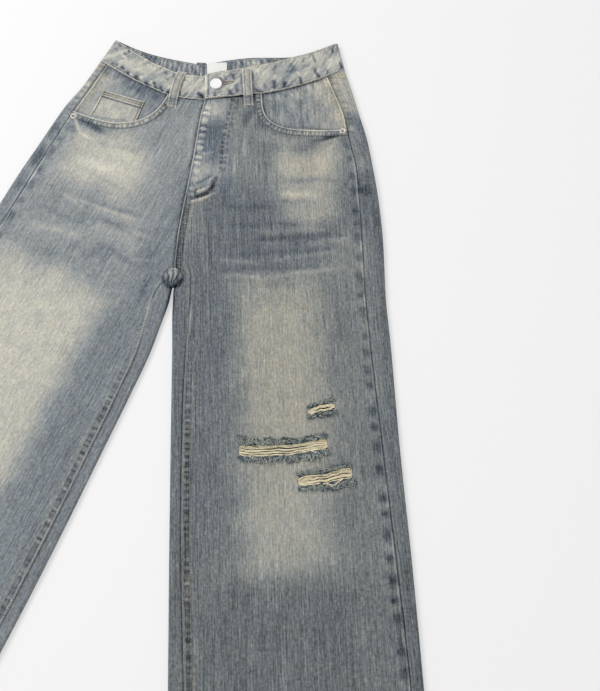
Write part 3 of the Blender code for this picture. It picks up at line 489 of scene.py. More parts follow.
def within(value, low, high, soft):
    """1 between low and high, with soft edges centred on them."""
    return ease((value - low) / soft + 0.5) * ease((high - value) / soft + 0.5)


def through(knots, values, wanted):
    """A smooth curve through the values at the knots: cubics whose slopes are the neighbours'."""
    knots, values = np.asarray(knots, float), np.asarray(values, float)
    slopes = np.gradient(values, knots, axis=0)
    wanted = np.clip(wanted, knots[0], knots[-1])
    index = np.clip(np.searchsorted(knots, wanted) - 1, 0, len(knots) - 2)
    span = knots[index + 1] - knots[index]
    t = (wanted - knots[index]) / span
    if values.ndim == 2:
        t, span = np.asarray(t)[..., None], np.asarray(span)[..., None]
    start = values[index] * (1 + 2 * t) * (1 - t) ** 2 + slopes[index] * span * t * (1 - t) ** 2
    end = values[index + 1] * t * t * (3 - 2 * t) + slopes[index + 1] * span * t * t * (t - 1)
    return start + end


def spaced(*stops):
    """Positions from the first stop to the last, given as (position, step): the step between
    neighbours changes evenly from stop to stop."""
    places, steps = np.transpose(stops)
    fine = np.linspace(places[0], places[-1], 4001)
    density = 1 / np.interp(fine, places, steps)
    count = np.concatenate([[0], np.cumsum((density[1:] + density[:-1]) / 2 * np.diff(fine))])
    return np.interp(np.linspace(0, count[-1], int(round(count[-1])) + 1), count, fine)


def wander(along, seed, pitch=0.02):
    """An uneven wave between -1 and 1 along a line: three sines of unrelated lengths."""
    turns = along / pitch * 2 * math.pi
    return (
        np.sin(turns + seed) + np.sin(turns * 0.413 + 2.1 * seed) + np.sin(turns * 1.73 + seed / 3)
    ) / 3


def beads(along, pitch, seed):
    """Puckers along a seam: rounded bumps from 0 to 1, uneven in spacing and in height."""
    phase = along / pitch + 0.35 * wander(along, seed, pitch * 3.7)
    height = 0.72 + 0.28 * wander(along, seed + 5, pitch * 4.3)
    return (0.5 + 0.5 * np.cos(2 * math.pi * phase)) * height


def patches(across, down, size, seed):
    """Soft uneven patches, from -1 to 1: random values on a square lattice with cells of this
    size, blended smoothly between its corners."""
    lattice = np.random.default_rng(seed).uniform(-1, 1, (97, 89))
    column, row = np.floor(across / size).astype(int), np.floor(down / size).astype(int)
    share_a, share_d = ease(across / size - column), ease(down / size - row)

    def blended(row):
        near, far = lattice[column % 97, row % 89], lattice[(column + 1) % 97, row % 89]
        return near * (1 - share_a) + far * share_a

    return blended(row) * (1 - share_d) + blended(row + 1) * share_d


def lengths(line):
    """How far along a line each of its points is."""
    return np.concatenate([[0], np.cumsum(np.linalg.norm(np.diff(line, axis=0), axis=1))])


def resampled(line, count):
    """A line as this many points at even distances."""
    run = lengths(line)
    even = np.linspace(0, run[-1], count)
    return np.stack([np.interp(even, run, values) for values in np.transpose(line)], axis=1)


def beside(line, distance):
    """A line moved sideways: to its left for positive distances, down drawn downwards."""
    step = np.gradient(np.asarray(line, float), axis=0)
    step /= np.linalg.norm(step, axis=1)[:, None]
    return line + distance * np.stack([step[:, 1], -step[:, 0]], axis=1)


def nearest(line, across, down):
    """For each point: its distance from the line (positive to the line's left, with down drawn
    downwards), and how far along the line its nearest place is."""
    best = np.full(across.shape, np.inf)
    signed, along = np.ones(across.shape), np.zeros(across.shape)
    for (x0, y0), (dx, dy), before in zip(line[:-1], np.diff(line, axis=0), lengths(line)):
        size = math.hypot(dx, dy)
        share = np.clip(((across - x0) * dx + (down - y0) * dy) / size**2, 0, 1)
        off_x, off_y = across - x0 - share * dx, down - y0 - share * dy
        gap = np.hypot(off_x, off_y)
        closer = gap < best
        best = np.where(closer, gap, best)
        signed = np.where(closer, np.where(dx * off_y - dy * off_x > 0, -gap, gap), signed)
        along = np.where(closer, before + share * size, along)
    return signed, along


# ------------------------------------------------------------------ outline of one half
def band_edge(band, edge, share):
    """(across, down) on a waistband's seam (0) or top (1)."""
    return through(np.linspace(0, 1, len(band)), band[:, 2 * edge : 2 * edge + 2], share)


class Half:
    """One leg with its half of the seat, and where its seams and edges run."""

    def __init__(self, name, side, lean, leg, front_band, back_band, mouth, fades, creases):
        self.name, self.side, self.lean = name, side, math.radians(lean)
        self.leg, self.front_band, self.mouth = leg, front_band, mouth
        self.fades, self.creases = fades, creases
        ends = [self.centre_back(rise) for rise in (BACK_RISE, BACK_RISE + BAND_HEIGHT)]
        self.back_band = np.concatenate([back_band, [np.concatenate(ends)]])
        self.fine = np.linspace(0, 1, 1001)
        self.seam_line = band_edge(front_band, 0, self.fine)
        beyond = self.seam_line[:, 0] - self.edge("side", self.seam_line[:, 1])
        self.side_share = float(np.interp(0, beyond, self.fine))
        self.side_down = band_edge(front_band, 0, self.side_share)[1]
        # the seam lines in (across, down)
        self.centre = self.centre_front(np.linspace(FRONT_RISE, 0, 60))
        mouth_turns = np.linspace(0, 1, 1500) ** 2 * math.pi / 2
        self.mouth_line = resampled(self.mouth_at(mouth_turns), 90)

    def place(self, across, down):
        """The point's X and Y, as an array of pairs."""
        across, down = np.asarray(across, float), np.asarray(down, float)
        cos, sin = math.cos(self.lean), math.sin(self.lean)
        x = CROTCH[0] + self.side * (cos * across + sin * down)
        y = CROTCH[1] + sin * across - cos * down
        return np.stack([x, y], axis=-1)

    def laid(self, across, down, height):
        """Points in space over (across, down)."""
        plan = self.place(across, down)
        height = np.broadcast_to(height, plan.shape[:-1])
        return np.concatenate([plan, height[..., None]], axis=-1)

    def own(self, x, y):
        """(across, down) of a point given from the crotch along X and Y."""
        cos, sin = math.cos(self.lean), math.sin(self.lean)
        out = self.side * x
        return np.stack(np.broadcast_arrays(cos * out + sin * y, sin * out - cos * y), axis=-1)

    def edge(self, column, down):
        return through(self.leg[:, 0], self.leg[:, LEG_COLUMNS.index(column)], down)

    def seam(self, across):
        """How far down the waistband's seam is."""
        return np.interp(across, self.seam_line[:, 0], self.seam_line[:, 1])

    def centre_front(self, rise):
        heights, bows = np.transpose(FRONT_BOW)
        return self.own(FRONT_SLANT * rise + np.interp(rise, heights, bows), rise)

    def centre_back(self, rise):
        return self.own(BACK_SLANT * rise, rise)

    def band_share(self, across):
        return np.interp(across, self.seam_line[:, 0], self.fine)

    def mouth_at(self, turn):
        """(across, down) on the mouth: a rounded corner, turn 0 at the waistband."""
        across_top, down_side, square = self.mouth
        across_side = self.edge("side", down_side)
        down_top = band_edge(self.front_band, 0, self.band_share(across_top))[1]
        across = across_side - (across_side - across_top) * np.cos(turn) ** (2 / square)
        down = down_top + (down_side - down_top) * np.sin(turn) ** (2 / square)
        return np.stack([across, down], axis=-1)


LEFT = Half("left", 1, 2.4, LEFT_LEG, LEFT_FRONT_BAND, LEFT_BACK_BAND, LEFT_MOUTH,
            LEFT_FADES, LEFT_CREASES)
RIGHT = Half("right", -1, 24.0, RIGHT_LEG, RIGHT_FRONT_BAND, RIGHT_BACK_BAND, RIGHT_MOUTH,
             RIGHT_FADES, RIGHT_CREASES)


def seat_share(down):
    first, last = SEAT_ENDS
    return 1 - ease((np.asarray(down, float) - first) / (last - first))


def top_level(down):
    return LEG_TOP + (SEAT_TOP - LEG_TOP) * seat_share(down)


def base_level(down):
    return SEAT_BASE * seat_share(down)


# ------------------------------------------------------------------ marks on the cloth
class Marks:
    """What shapes and shades a cloth at a set of points: its relief in metres, its tone out of
    255 and its warmth, 0 for blue-grey and 1 for tan."""

    def __init__(self, shape):
        self.height, self.tone, self.warm = np.zeros((3, *shape))

    def add(self, weight=1.0, height=0.0, tone=0.0, warm=0.0, where=Ellipsis):
        self.height[where] += weight * height
        self.tone[where] += weight * tone
        self.warm[where] += weight * warm

    def lines(self, distance, rows, weight=1.0, where=Ellipsis):
        """Lines beside an edge, at a distance from it. Each row is how far off the line is, its
        width and its height, in millimetres, its tone and its warmth."""
        for off, width, height, tone, warm in rows:
            shape = hump(distance - off / 1000, width / 1000) * weight
            self.add(shape, height / 1000, tone, warm, where)


def bead_band(marks, distance, along, width, pitch, seed, depth, rise, weight=1.0):
    """A seam's allowance between its stitches: pale puckers with dark dips between them, for
    distances from 0 to the band's width."""
    band = within(distance, 0.0006, width, 0.0016) * weight
    bead = beads(along, pitch, seed)
    small = beads(along, pitch * 0.43, seed + 9)
    marks.add(band, tone=depth * (0.9 * bead + 0.5 * small - 0.72), warm=0.35,
              height=rise * (0.8 * bead + 0.2 * small))


KNOT_MIDDLE = (-0.0072, 0.0150)  # the foot of the bunched seams, across and down on the left


def knot_shade(marks, half, across, down):
    """The cloth round the bunched seams: risen a little, and dark round its lower side."""
    offset = half.place(across, down) - LEFT.place(*KNOT_MIDDLE)
    x, y = offset[..., 0], offset[..., 1]
    ring = np.hypot(x / 0.0125, (y - 0.0112) / 0.0130)
    below = ease(0.5 - (y - 0.010) / 0.016)
    marks.add(ease((1.10 - ring) / 0.5), height=0.0004)
    marks.add(hump(ring - 1.05, 0.16), tone=-30 - 46 * below, warm=0.3, height=-0.0004)


def line_marks(marks, creases, across, down):
    """Creases and whiskers: each a bell across a segment whose strength tapers towards the ends
    and wavers on the way."""
    for index, (across0, down0, across1, down1, width, height, tone) in enumerate(creases):
        run = np.array([across1 - across0, down1 - down0])
        size = math.hypot(*run)
        run /= size
        from_a, from_d = across - across0, down - down0
        along = from_a * run[0] + from_d * run[1]
        off = from_d * run[0] - from_a * run[1] + 0.35 * width * wander(along, index, size * 0.9)
        share = along / size
        ends = ease(share / 0.3 + 0.15) * ease((1 - share) / 0.3 + 0.15)
        shape = hump(off, width) * ends * (0.85 + 0.15 * wander(along, index + 3, 0.03))
        marks.add(shape, height, tone)


def fade_tone(fades, across, down):
    """The sum of soft-edged patches whose edges wander."""
    total = np.zeros(across.shape)
    for index, (across0, across1, down0, down1, soft_a, soft_d, tone) in enumerate(fades):
        patch = within(across + 0.006 * wander(down, index, 0.11), across0, across1, soft_a)
        patch *= within(down + 0.008 * wander(across, index + 1, 0.09), down0, down1, soft_d)
        total += tone * patch
    return total


def billow(half, across, down):
    """Slow rises and dips of cloth that lies loosely: products of long uneven waves."""
    slow = wander(down + 0.3 * across, half.side + 2, 0.21) * wander(across, 4, 0.13)
    return 0.0007 * slow + 0.0004 * wander(down - across, 7, 0.085)


def top_marks(half, across, down):
    """The marks on the upper side of a half, the same for the front and for the strip of the
    back beside it, so that both move together along a seam."""
    marks = Marks(across.shape)
    marks.add(height=billow(half, across, down), warm=WARMTH[half.name])
    faded = fade_tone(half.fades, across, down)
    warmer = 0.06 + 0.20 * ease((down + 0.02) / 0.06) - 0.30 * ease((down - 0.24) / 0.14)
    warmer = warmer * ease(faded / 40) + 0.14 * ease((down - 0.30) / 0.12)
    marks.add(tone=BASE_TONE[half.name] + faded, warm=warmer * (half.side > 0))
    line_marks(marks, half.creases, across, down)
    knot_shade(marks, half, across, down)
    # side seam: the allowance lies on the front's side of it below the pocket
    distance = half.edge("side", down) - across
    below = ease((down - half.mouth[1]) / 0.02)
    lip = 0.3 + 0.7 * (patches(down, 0 * down, 0.016, 4 + half.side) > -0.1)
    lip = lip * below * (1 - 0.6 * within(down, 0.09, 0.30, 0.06))
    marks.lines(distance, ((-0.2, 0.9, -0.4, -54, 0), (-2.0, 1.2, 0.2, 13, 0)))
    marks.lines(distance, ((1.6, 1.2, 0.6, 52, -0.2),), lip)
    spots = np.clip(1 - 1.1 * beads(down, 0.0265, 3 + half.side), 0, 1) ** 2
    low = ease((down - 0.13) / 0.05) * 0.35 + 0.65
    band = within(distance, 0.0022, 0.0120 - 0.003 * (1 - low), 0.0040) * below * low
    marks.add(band, tone=7 - 52 * spots, height=0.0006 * (1 - spots))
    marks.add((1 - below) * ease(-distance / 0.002), warm=-0.25)
    above = (1 - below) * within(-distance, 0.0016, 0.0100, 0.0030)
    marks.add(above, tone=38 * (beads(down, 0.0105, 8) - 0.55), warm=0.3, height=0.0004)
    # inseam
    distance = across - half.edge("inseam", down)
    on_leg = ease((down - 0.040) / 0.02)
    fuller = ease((down - 0.115) / 0.10) * 0.85 + 0.15
    marks.lines(distance, ((-0.3, 0.9, -0.5, -52, 0),), ease((down - 0.075) / 0.06))
    marks.lines(distance, ((1.4, 1.3, 0.5, 40, -0.1), (12.5, 1.6, 0, 9, 0.2)), on_leg)
    bead_band(marks, distance - 0.0030, down, 0.0075, 0.0088, 9 + half.side, 78, 0.0008,
              on_leg * fuller)
    near = (np.abs(down - 0.015) < 0.05) & (across < 0.045) & (across > 0.0)
    gap, _ = nearest(PULL_LINES[half.name], across[near], down[near])
    strength = ease((down[near] + 0.022) / 0.02) * (1 - ease((down[near] - 0.040) / 0.012))
    marks.lines(gap, ((0, 1.2, -0.3, -26, 0.4), (2.4, 1.4, 0.3, 20, 0), (-2.4, 1.4, 0.3, 14, 0)),
                strength, near)
    # the folded edges are worn pale, and dark just inside
    marks.lines(half.edge("fold", down) - across, ((1, 3, 0, 8, 0), (7, 4, 0, -6, 0)))
    # painted shadow on the inner folded edge just below the crotch, where the legs part
    inner = across - half.edge("turn", down)
    crotch_shadow = ease((down - 0.006) / 0.01) * (1 - ease((down - 0.035) / 0.045))
    marks.add(hump(np.maximum(inner, 0), 0.0030) * crotch_shadow, tone=-70)
    return marks


# The fly's topstitching and the bunched fold at its foot: across and down on the left
FLY_STITCH = mm((
    (80, -281), (75.8, -263.2), (71.6, -246.3), (68.2, -227.7), (65.5, -212.8), (63.7, -198.1),
    (62, -183.5), (60.1, -167.3), (57.7, -156.5), (55.2, -149), (52, -140.6), (47.2, -131.9),
    (40.8, -125.1), (33, -121), (26.5, -119),
))
# Each fold's line, then its width and height, in millimetres, its tone and its warmth
FLY_FOLDS = (
    (FLY_STITCH[9:] * 1000, 1.7, -1.2, -58, 0.3),
    (((52.1, -147.7), (44, -137.4), (36.2, -132.3), (25.1, -129.3)), 1.4, -0.8, -46, 0.5),
    (((25.1, -129.3), (24, -125.8), (27.5, -118.5)), 2.0, -1.0, -50, 0.3),
    (((49, -144), (42, -134), (34.5, -128.2), (28.5, -126)), 3.6, 1.4, 50, -0.2),
    (((44, -150), (35, -144), (27, -140)), 1.6, -0.6, -44, 0.1),
    (((16, -110), (29.7, -112.4), (40.8, -117.2), (51, -123.5)), 1.7, 1.2, 44, 0.1),
    (((20, -116), (25, -116.5)), 4.0, -0.4, -26, 0.2),
    (((30, -188), (40, -187), (50, -189.5)), 1.4, 0.6, 30, 0.0),
)
FLY_FADES = mm((
    (34, 66, -240, -192, 14, 14, -26), (42, 62, -190, -168, 10, 8, -20),
    (20, 62, -172, -140, 14, 12, 22), (36, 72, -282, -246, 14, 14, 30),
    (50, 66, -270, -250, 10, 10, 14), (-12, 20, -280, -90, 16, 60, -10),
), 1)


def fly_marks(marks, across, down):
    """The left front's fly: a lip with large puckers along its edge, each with painted shadow just
    below it, a pressed double row of stitching that curves back to the edge, and below it the
    double-stitched centre seam."""
    near = (down < 0.02) & (across < 0.11)
    gap, along = nearest(LEFT.centre, across[near], down[near])
    low = ease((along - 0.163) / 0.014)
    marks.lines(gap, ((0.8, 1.2, 0.6, 30, -0.3), (2.8, 1.0, -0.3, -34, 0)), 1, near)
    marks.lines(gap, ((12.8, 2, 0, 14, 0),), low, near)
    # pale puckers, each with painted shadow a little below it: a second copy of the puckers,
    # shifted down the edge, darkens the cloth
    bead, bead_shadow = beads(along, 0.0122, 4), beads(along - 0.0042, 0.0122, 4)
    band = within(gap, 0.0030, 0.0125, 0.0040) * (1 - low) * ease((along - 0.006) / 0.01)
    calm = 1 - 0.6 * ease((along - 0.085) / 0.05)
    marks.add(band * calm, 0.0014 * bead, 70 * bead - 66 * bead_shadow + 12, -0.3, near)
    seam = within(gap, 0.0018, 0.0104, 0.0016) * low
    small = beads(along, 0.0040, 7) * (hump(gap - 0.0040, 0.0014) + hump(gap - 0.0088, 0.0014))
    small = small + 0.7 * beads(along - 0.001, 0.0052, 5) * hump(gap - 0.0064, 0.0014)
    marks.add(seam, 0.0005 * small, -48 + 76 * small, 0.35, near)
    near = (down < -0.105) & (across < 0.10) & (across > 0.0)
    a, d = across[near], down[near]
    gap, along = nearest(FLY_STITCH, a, d)
    straight = 1 - ease((along - 0.118) / 0.012)
    for shift, pitch, strength, seed in ((0.0, 0.0082, 1.0, 3), (0.0062, 0.0105, 0.55, 8)):
        line = hump(gap - shift, 0.0021) * straight * strength
        bead = beads(along, pitch, seed)
        marks.add(line, 0.0009 * bead - 0.0006, 128 * bead - 66, where=near)
    for points, *row in FLY_FOLDS:
        marks.lines(nearest(mm(points), a, d)[0], ((0, *row),), 1, near)
    pressed = within(a, 0.018, 0.078, 0.012) * within(d, -0.290, -0.130, 0.016)
    marks.add(tone=fade_tone(FLY_FADES, a, d), warm=-0.42 * pressed, where=near)


def front_marks(half, across, down):
    """The marks of the front panel: the shared ones, the fly or the centre seam, the mouth's
    rolled hem and the ditch under the waistband. Part of their darkness is painted shade: along
    the right front's centre, where the left front laps over it; under the waistband's rolled edge;
    and just beyond the hem."""
    marks = top_marks(half, across, down)
    if half.side > 0:
        fly_marks(marks, across, down)
    else:
        # on the right, a dark line along the centre front: partly the seam, partly painted shadow
        # where the left front's edge laps over it
        near = (down < 0.0) & (across < 0.11)
        gap, _ = nearest(half.centre, across[near], down[near])
        marks.lines(gap, ((0, 2.8, 0, -56, 0.5),), 1, near)
    # under the waistband a dark ditch: partly the seam line, partly painted shade under the band's
    # rolled edge
    ditch = down - half.seam(across)
    marks.lines(ditch, ((0, 1.4, -0.6, -26, 0), (3, 4.5, 0, -15, 0)))
    drawn = within(ditch, 0.004, 0.026, 0.02)
    marks.add(drawn, 0.0002, 22 * (beads(across, 0.0135, 4 + half.side) - 0.55))
    # the hem of the pocket's mouth: a line of painted shade on the front, just beyond the hem's
    # edge
    near = (down < half.mouth[1] + 0.03) & (across > half.mouth[0] - 0.03)
    gap, _ = nearest(half.mouth_line, across[near], down[near])
    marks.lines(np.abs(gap), ((12.5, 3, 0, -12, 0),), 1, near)
    return marks


# ------------------------------------------------------------------ building meshes
def cloth(name, points, uv, marks, materials, wall, node=None, slot="denim", keep=None,
          flip=False, offset=-1.0):
    """A cloth piece: a surface through the grid of points, with a wall of this thickness. It
    may stand for a node."""
    rows, columns = points.shape[:2]
    corner = np.arange(rows * columns).reshape(rows, columns)
    quads = np.stack(
        [corner[:-1, :-1], corner[1:, :-1], corner[1:, 1:], corner[:-1, 1:]], axis=-1
    )
    quads = quads.reshape(-1, 4) if keep is None else quads[keep]
    if flip:
        quads = quads[:, ::-1]
    used, faces = np.unique(quads, return_inverse=True)
    faces = faces.reshape(-1, 4)
    made = mesh_piece(name, points.reshape(-1, 3)[used], faces, materials,
                      tone=marks.tone.reshape(-1)[used] / 255, warm=marks.warm.reshape(-1)[used])
    layer = made.data.uv_layers.new(name="UVMap")
    layer.data.foreach_set("uv", uv.reshape(-1, 2)[used][faces.ravel()].astype(np.float32).ravel())
    solid = made.modifiers.new("Cloth wall", "SOLIDIFY")
    solid.thickness = wall
    solid.offset = offset
    if len(materials) > 1:
        solid.material_offset = 1
    if node:
        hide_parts(node)
    return made


def mesh_piece(name, points, faces, materials, **attributes):
    """A mesh object from arrays, riding on the garment's one body, with a number at each point
    for each attribute."""
    mesh = bpy.data.meshes.new(name)
    mesh.vertices.add(len(points))
    mesh.vertices.foreach_set("co", np.asarray(points, np.float32).ravel())
    size = faces.shape[1]
    mesh.loops.add(faces.size)
    mesh.loops.foreach_set("vertex_index", faces.astype(np.int32).ravel())
    mesh.polygons.add(len(faces))
    mesh.polygons.foreach_set("loop_start", np.arange(0, faces.size, size, dtype=np.int32))
    mesh.polygons.foreach_set("loop_total", np.full(len(faces), size, np.int32))
    mesh.polygons.foreach_set("use_smooth", np.full(len(faces), True))
    mesh.update(calc_edges=True)
    for attribute, values in attributes.items():
        layer = mesh.attributes.new(attribute, "FLOAT", "POINT")
        layer.data.foreach_set("value", values.astype(np.float32))
    for material in materials:
        mesh.materials.append(material)
    made = bpy.data.objects.new(name, mesh)
    bpy.context.scene.collection.objects.link(made)
    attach(made, "root")
    return made


def joined(parts):
    """Points and faces of several meshes as one."""
    before = np.cumsum([0] + [len(points) for points, _ in parts])
    return (np.concatenate([points for points, _ in parts]),
            np.concatenate([faces + start for (_, faces), start in zip(parts, before)]))


def tubes(paths, radius, sides):
    """Round threads: paths is (threads, steps, 3), radius is (threads, steps). Rings stand square
    to each path, and a fan of quads closes both ends (sides is even)."""
    threads, steps, _ = paths.shape
    tangent = np.gradient(paths, axis=1)
    tangent /= np.linalg.norm(tangent, axis=-1, keepdims=True) + 1e-12
    across = np.cross(tangent, np.broadcast_to([0.0, 0.0, 1.0], tangent.shape))
    flat = np.linalg.norm(across, axis=-1, keepdims=True)
    across = np.where(flat > 1e-3, across / np.maximum(flat, 1e-9), [1.0, 0.0, 0.0])
    over = np.cross(across, tangent)
    turns = np.linspace(0, 2 * math.pi, sides, endpoint=False)[:, None]
    ring = across[..., None, :] * np.cos(turns) + over[..., None, :] * np.sin(turns)
    points = paths[..., None, :] + ring * radius[..., None, None]
    index = np.arange(threads * steps * sides).reshape(threads, steps, sides)
    after = np.roll(index, -1, axis=2)
    faces = np.stack([index[:, :-1], after[:, :-1], after[:, 1:], index[:, 1:]], axis=-1)
    faces = [faces.reshape(-1, 4)]
    for ring, order in ((index[:, 0], (3, 2, 1, 0)), (index[:, -1], (0, 1, 2, 3))):
        for k in range(1, sides - 1, 2):
            quad = np.stack([ring[:, at % sides] for at in (0, k, k + 1, k + 2)], axis=-1)
            faces.append(quad[:, order])
    return points.reshape(-1, 3), np.concatenate(faces)


def stitch_row(path, pitch=0.0034, fill=0.74, radius=0.00046):
    """Stitches along a path (steps, 3): short capsules that sink at their ends."""
    run = lengths(path)
    count = max(2, int(run[-1] / pitch))
    starts = (np.arange(count) + 0.5) * run[-1] / count
    local = np.array([-0.5, -0.28, 0.28, 0.5]) * pitch * fill
    at = np.clip(starts[:, None] + local, 0, run[-1])
    lines = np.stack([np.interp(at, run, values) for values in path.T], axis=-1)
    lines[..., 2] += radius * np.array([-0.5, 0.55, 0.55, -0.5])
    sizes = np.broadcast_to(radius * np.array([0.45, 1.0, 1.0, 0.45]), at.shape)
    return tubes(lines, sizes, 4)


def surface_path(half, line, level):
    """A line in (across, down) as points on a surface whose height is level(half, ...)."""
    across, down = np.transpose(line)
    return half.laid(across, down, level(half, across, down))


def front_height(half, across, down):
    """Height of the front's outer face."""
    level = top_level(down) + front_marks(half, across, down).height
    if half.side > 0:
        beyond = across - half.centre_front(np.clip(-down, 0, FRONT_RISE))[..., 0]
        level += fly_lift(-down, beyond)
    return level


def fly_lift(rise, beyond):
    first, last = FLY_LIFT_ENDS
    return FLY_LIFT * (1 - ease(beyond / LIFT_FADE)) * ease((rise - first) / (last - first))


# ------------------------------------------------------------------ fronts
PANEL = 0.250  # nominal width of a front, for spacing its columns
INNER_SHARES = spaced((0, 0.0011), (0.015, 0.0011), (0.062, 0.0015), (0.076, 0.0034),
                      (0.108, 0.0034), (0.125, 0.0016)) / PANEL
OUTER_SHARES = spaced((0.125, 0.0013), (0.138, 0.0015), (0.146, 0.0034), (0.222, 0.0034),
                      (0.236, 0.0012), (PANEL, 0.0012)) / PANEL
LEG_DOWNS = spaced((0, 0.0022), (0.30, 0.0023), (0.33, 0.0030), (0.50, 0.0032), (0.52, 0.0042),
                   (0.672, 0.0042), (0.676, 0.0016), (INSEAM, 0.0016))


def front_grid(half):
    """(across, down) of the front's points, from the waist to the hem, and which quads are kept.

    Above the mouth's corner the rows run from the centre front to the mouth; below it they run
    on to the side seam.
    """
    columns = np.concatenate([INNER_SHARES, OUTER_SHARES[1:]])
    inner_count = len(INNER_SHARES)
    power = 2 / half.mouth[2]
    corner = math.cos(math.pi / 4) ** power
    first_drop = 1 - half.mouth[1] / half.side_down
    # from the waistband to the level of the mouth's corner
    share = spaced((0, 0.0013), (0.007, 0.0013), (0.014, 0.0024), (0.055, 0.0024)) / 0.055
    centre = half.centre_front(FRONT_RISE * (1 - first_drop * share))
    turn = np.arcsin(np.clip(corner * share, 0, 1) ** (1 / power))
    mouth = half.mouth_at(turn)
    s = INNER_SHARES / INNER_SHARES[-1]
    seam = band_edge(half.front_band, 0, half.band_share(half.mouth[0]) * s)
    bent = seam - (seam[0] + (seam[-1] - seam[0]) * s[:, None])
    upper = centre[:, None] + (mouth - centre)[:, None] * s[:, None]
    upper = upper + bent * ((1 - share) ** 2)[:, None, None]
    rest = np.repeat(upper[:, -1:], len(columns) - inner_count, axis=1)
    upper = np.concatenate([upper, rest], axis=1)
    level = corner * (1 - (columns[inner_count:] - 0.5) / 0.5)
    outer_corner = half.mouth_at(np.arccos(np.clip(level, 0, 1) ** (1 / power)))
    corner_row = np.concatenate([upper[-1, :inner_count], outer_corner])
    # from there to the crotch, and the leg
    share = spaced((0, 0.0012), (0.011, 0.0012), (0.018, 0.0022), (0.225, 0.0022)) / 0.225
    drops = first_drop + (1 - first_drop) * share
    inner = half.centre_front(FRONT_RISE * (1 - drops))
    downs = half.side_down * (1 - drops)
    outer = np.column_stack([half.edge("side", downs), downs])
    bent = corner_row - (corner_row[0] + (corner_row[-1] - corner_row[0]) * columns[:, None])
    lower = inner[:, None] + (outer - inner)[:, None] * columns[:, None]
    lower = lower + bent * ((1 - share) ** 2)[:, None, None]
    inner, outer = (half.edge(name, LEG_DOWNS)[1:, None] for name in ("inseam", "side"))
    across = inner + (outer - inner) * columns
    leg = np.stack([across, np.broadcast_to(LEG_DOWNS[1:, None], across.shape)], axis=-1)
    grid = np.concatenate([upper, lower[1:], leg])
    keep = np.ones((len(grid) - 1, len(columns) - 1), bool)
    keep[: len(upper) - 1, inner_count - 1 :] = False
    return grid, keep


def rip_axes(rip, across, down):
    """Where points are along a rip, and across it from its bowed middle line."""
    cos, sin = math.cos(rip["tilt"]), math.sin(rip["tilt"])
    x = (across - rip["across"]) * cos + (down - rip["down"]) * sin
    y = (down - rip["down"]) * cos - (across - rip["across"]) * sin
    return x, y - rip_bend(rip, x)


def rip_field(across, down):
    """Below 0 inside a rip's opening: a long box with rounded corners and a ragged edge."""
    field = np.full(across.shape, 9.0)
    for index, rip in enumerate(RIPS.values()):
        x, y = rip_axes(rip, across, down)
        y = y + 0.0006 * wander(x, index, 0.006)
        box = np.abs(x / rip["long"]) ** rip["square"]
        box = box + np.abs(y / rip_reach(rip, x)) ** max(2.0, 0.6 * rip["square"])
        field = np.minimum(field, box - 1)
    return field


def rip_reach(rip, x):
    """Half the height of a rip's opening at a place along it."""
    return rip["high"] * (1 + rip["flare"] * x / rip["long"])


def rip_fray(rip, x, edge):
    """How long the fringe is at a place along a rip's upper (-1) or lower (+1) edge, as a share
    of its usual length."""
    ends = [np.where(edge < 0, rip["above" + end], rip["below" + end]) for end in "01"]
    return ends[0] + (ends[1] - ends[0]) * np.clip(x / rip["long"] / 2 + 0.5, 0, 1)


def rip_bend(rip, x):
    """How far a rip's middle line bows downwards there."""
    return rip["bend"] * (1 - (x / rip["long"]) ** 2)


def onto_rips(grid):
    """Moves the grid's points that are within half a cell of a rip's edge onto that edge."""
    step = 0.00004
    across, down = grid[..., 0], grid[..., 1]
    field = rip_field(across, down)
    slope_a = (rip_field(across + step, down) - field) / step
    slope_d = (rip_field(across, down + step) - field) / step
    slope = slope_a**2 + slope_d**2 + 1e-9
    move_a, move_d = -field * slope_a / slope, -field * slope_d / slope
    near = np.hypot(move_a, move_d) < 0.0012
    return grid + np.stack([move_a, move_d], axis=-1) * near[..., None]


def worn_round_rips(marks, across, down):
    """Darker and bluer cloth, ruffled, above and below each rip."""
    for rip in RIPS.values():
        x, y = rip_axes(rip, across, down)
        beyond = np.abs(y) - rip_reach(rip, x)
        ends = within(x, -rip["long"] - 0.001, rip["long"] + 0.001, 0.008)
        reach = (0.0050 + 0.0035 * patches(x, y, 0.009, 5)) * rip_fray(rip, x, y)
        near = ends * (1 - ease((beyond - reach) / 0.0035)) * ease(beyond / 0.001 + 1)
        ruffle = 0.6 * patches(x, y, 0.0034, 6) + 0.6 * patches(x, y, 0.0021, 7)
        marks.add(near, 0.0006 + 0.0009 * ruffle, np.where(y > 0, -54, -34) + 44 * ruffle, 0.1)


def front_panel(half, materials):
    """The front. Its outer column and its top row tuck under their neighbours. The left one has
    the rips cut out, and the right one runs on under it at the fly."""
    grid, keep = front_grid(half)
    left = half.side > 0
    if left:
        grid = onto_rips(grid)
        middle = (grid[:-1, :-1] + grid[1:, 1:] + grid[1:, :-1] + grid[:-1, 1:]) / 4
        keep &= rip_field(middle[..., 0], middle[..., 1]) > 0
    across, down = grid[..., 0], grid[..., 1]
    marks = front_marks(half, across, down)
    if left:
        worn_round_rips(marks, across, down)
        marks.height += fly_lift(-grid[:, :1, 1], across - grid[:, :1, 0])
    else:
        first, last = UNDERLAP_ENDS
        reach = FLY_UNDERLAP * ease((-grid[:, 0, 1] - first) / (last - first))
        lap = grid[:, :1] - np.stack([reach, 0 * reach], axis=-1)[:, None]
        grid = np.concatenate([lap, grid], axis=1)
        for name, values in vars(marks).items():
            edge = values[:, :1] * (name != "height")
            setattr(marks, name, np.concatenate([edge, values], axis=1))
        wide = (reach > 0.0012)[:, None]
        keep = np.concatenate([wide[:-1] & wide[1:], keep], axis=1)
        across, down = grid[..., 0], grid[..., 1]
    points = half.laid(across, down, top_level(down) + marks.height)
    return cloth("denim_front_" + half.name, points, grid, marks, materials, DENIM,
                 "front_" + half.name, keep=keep, flip=not left)


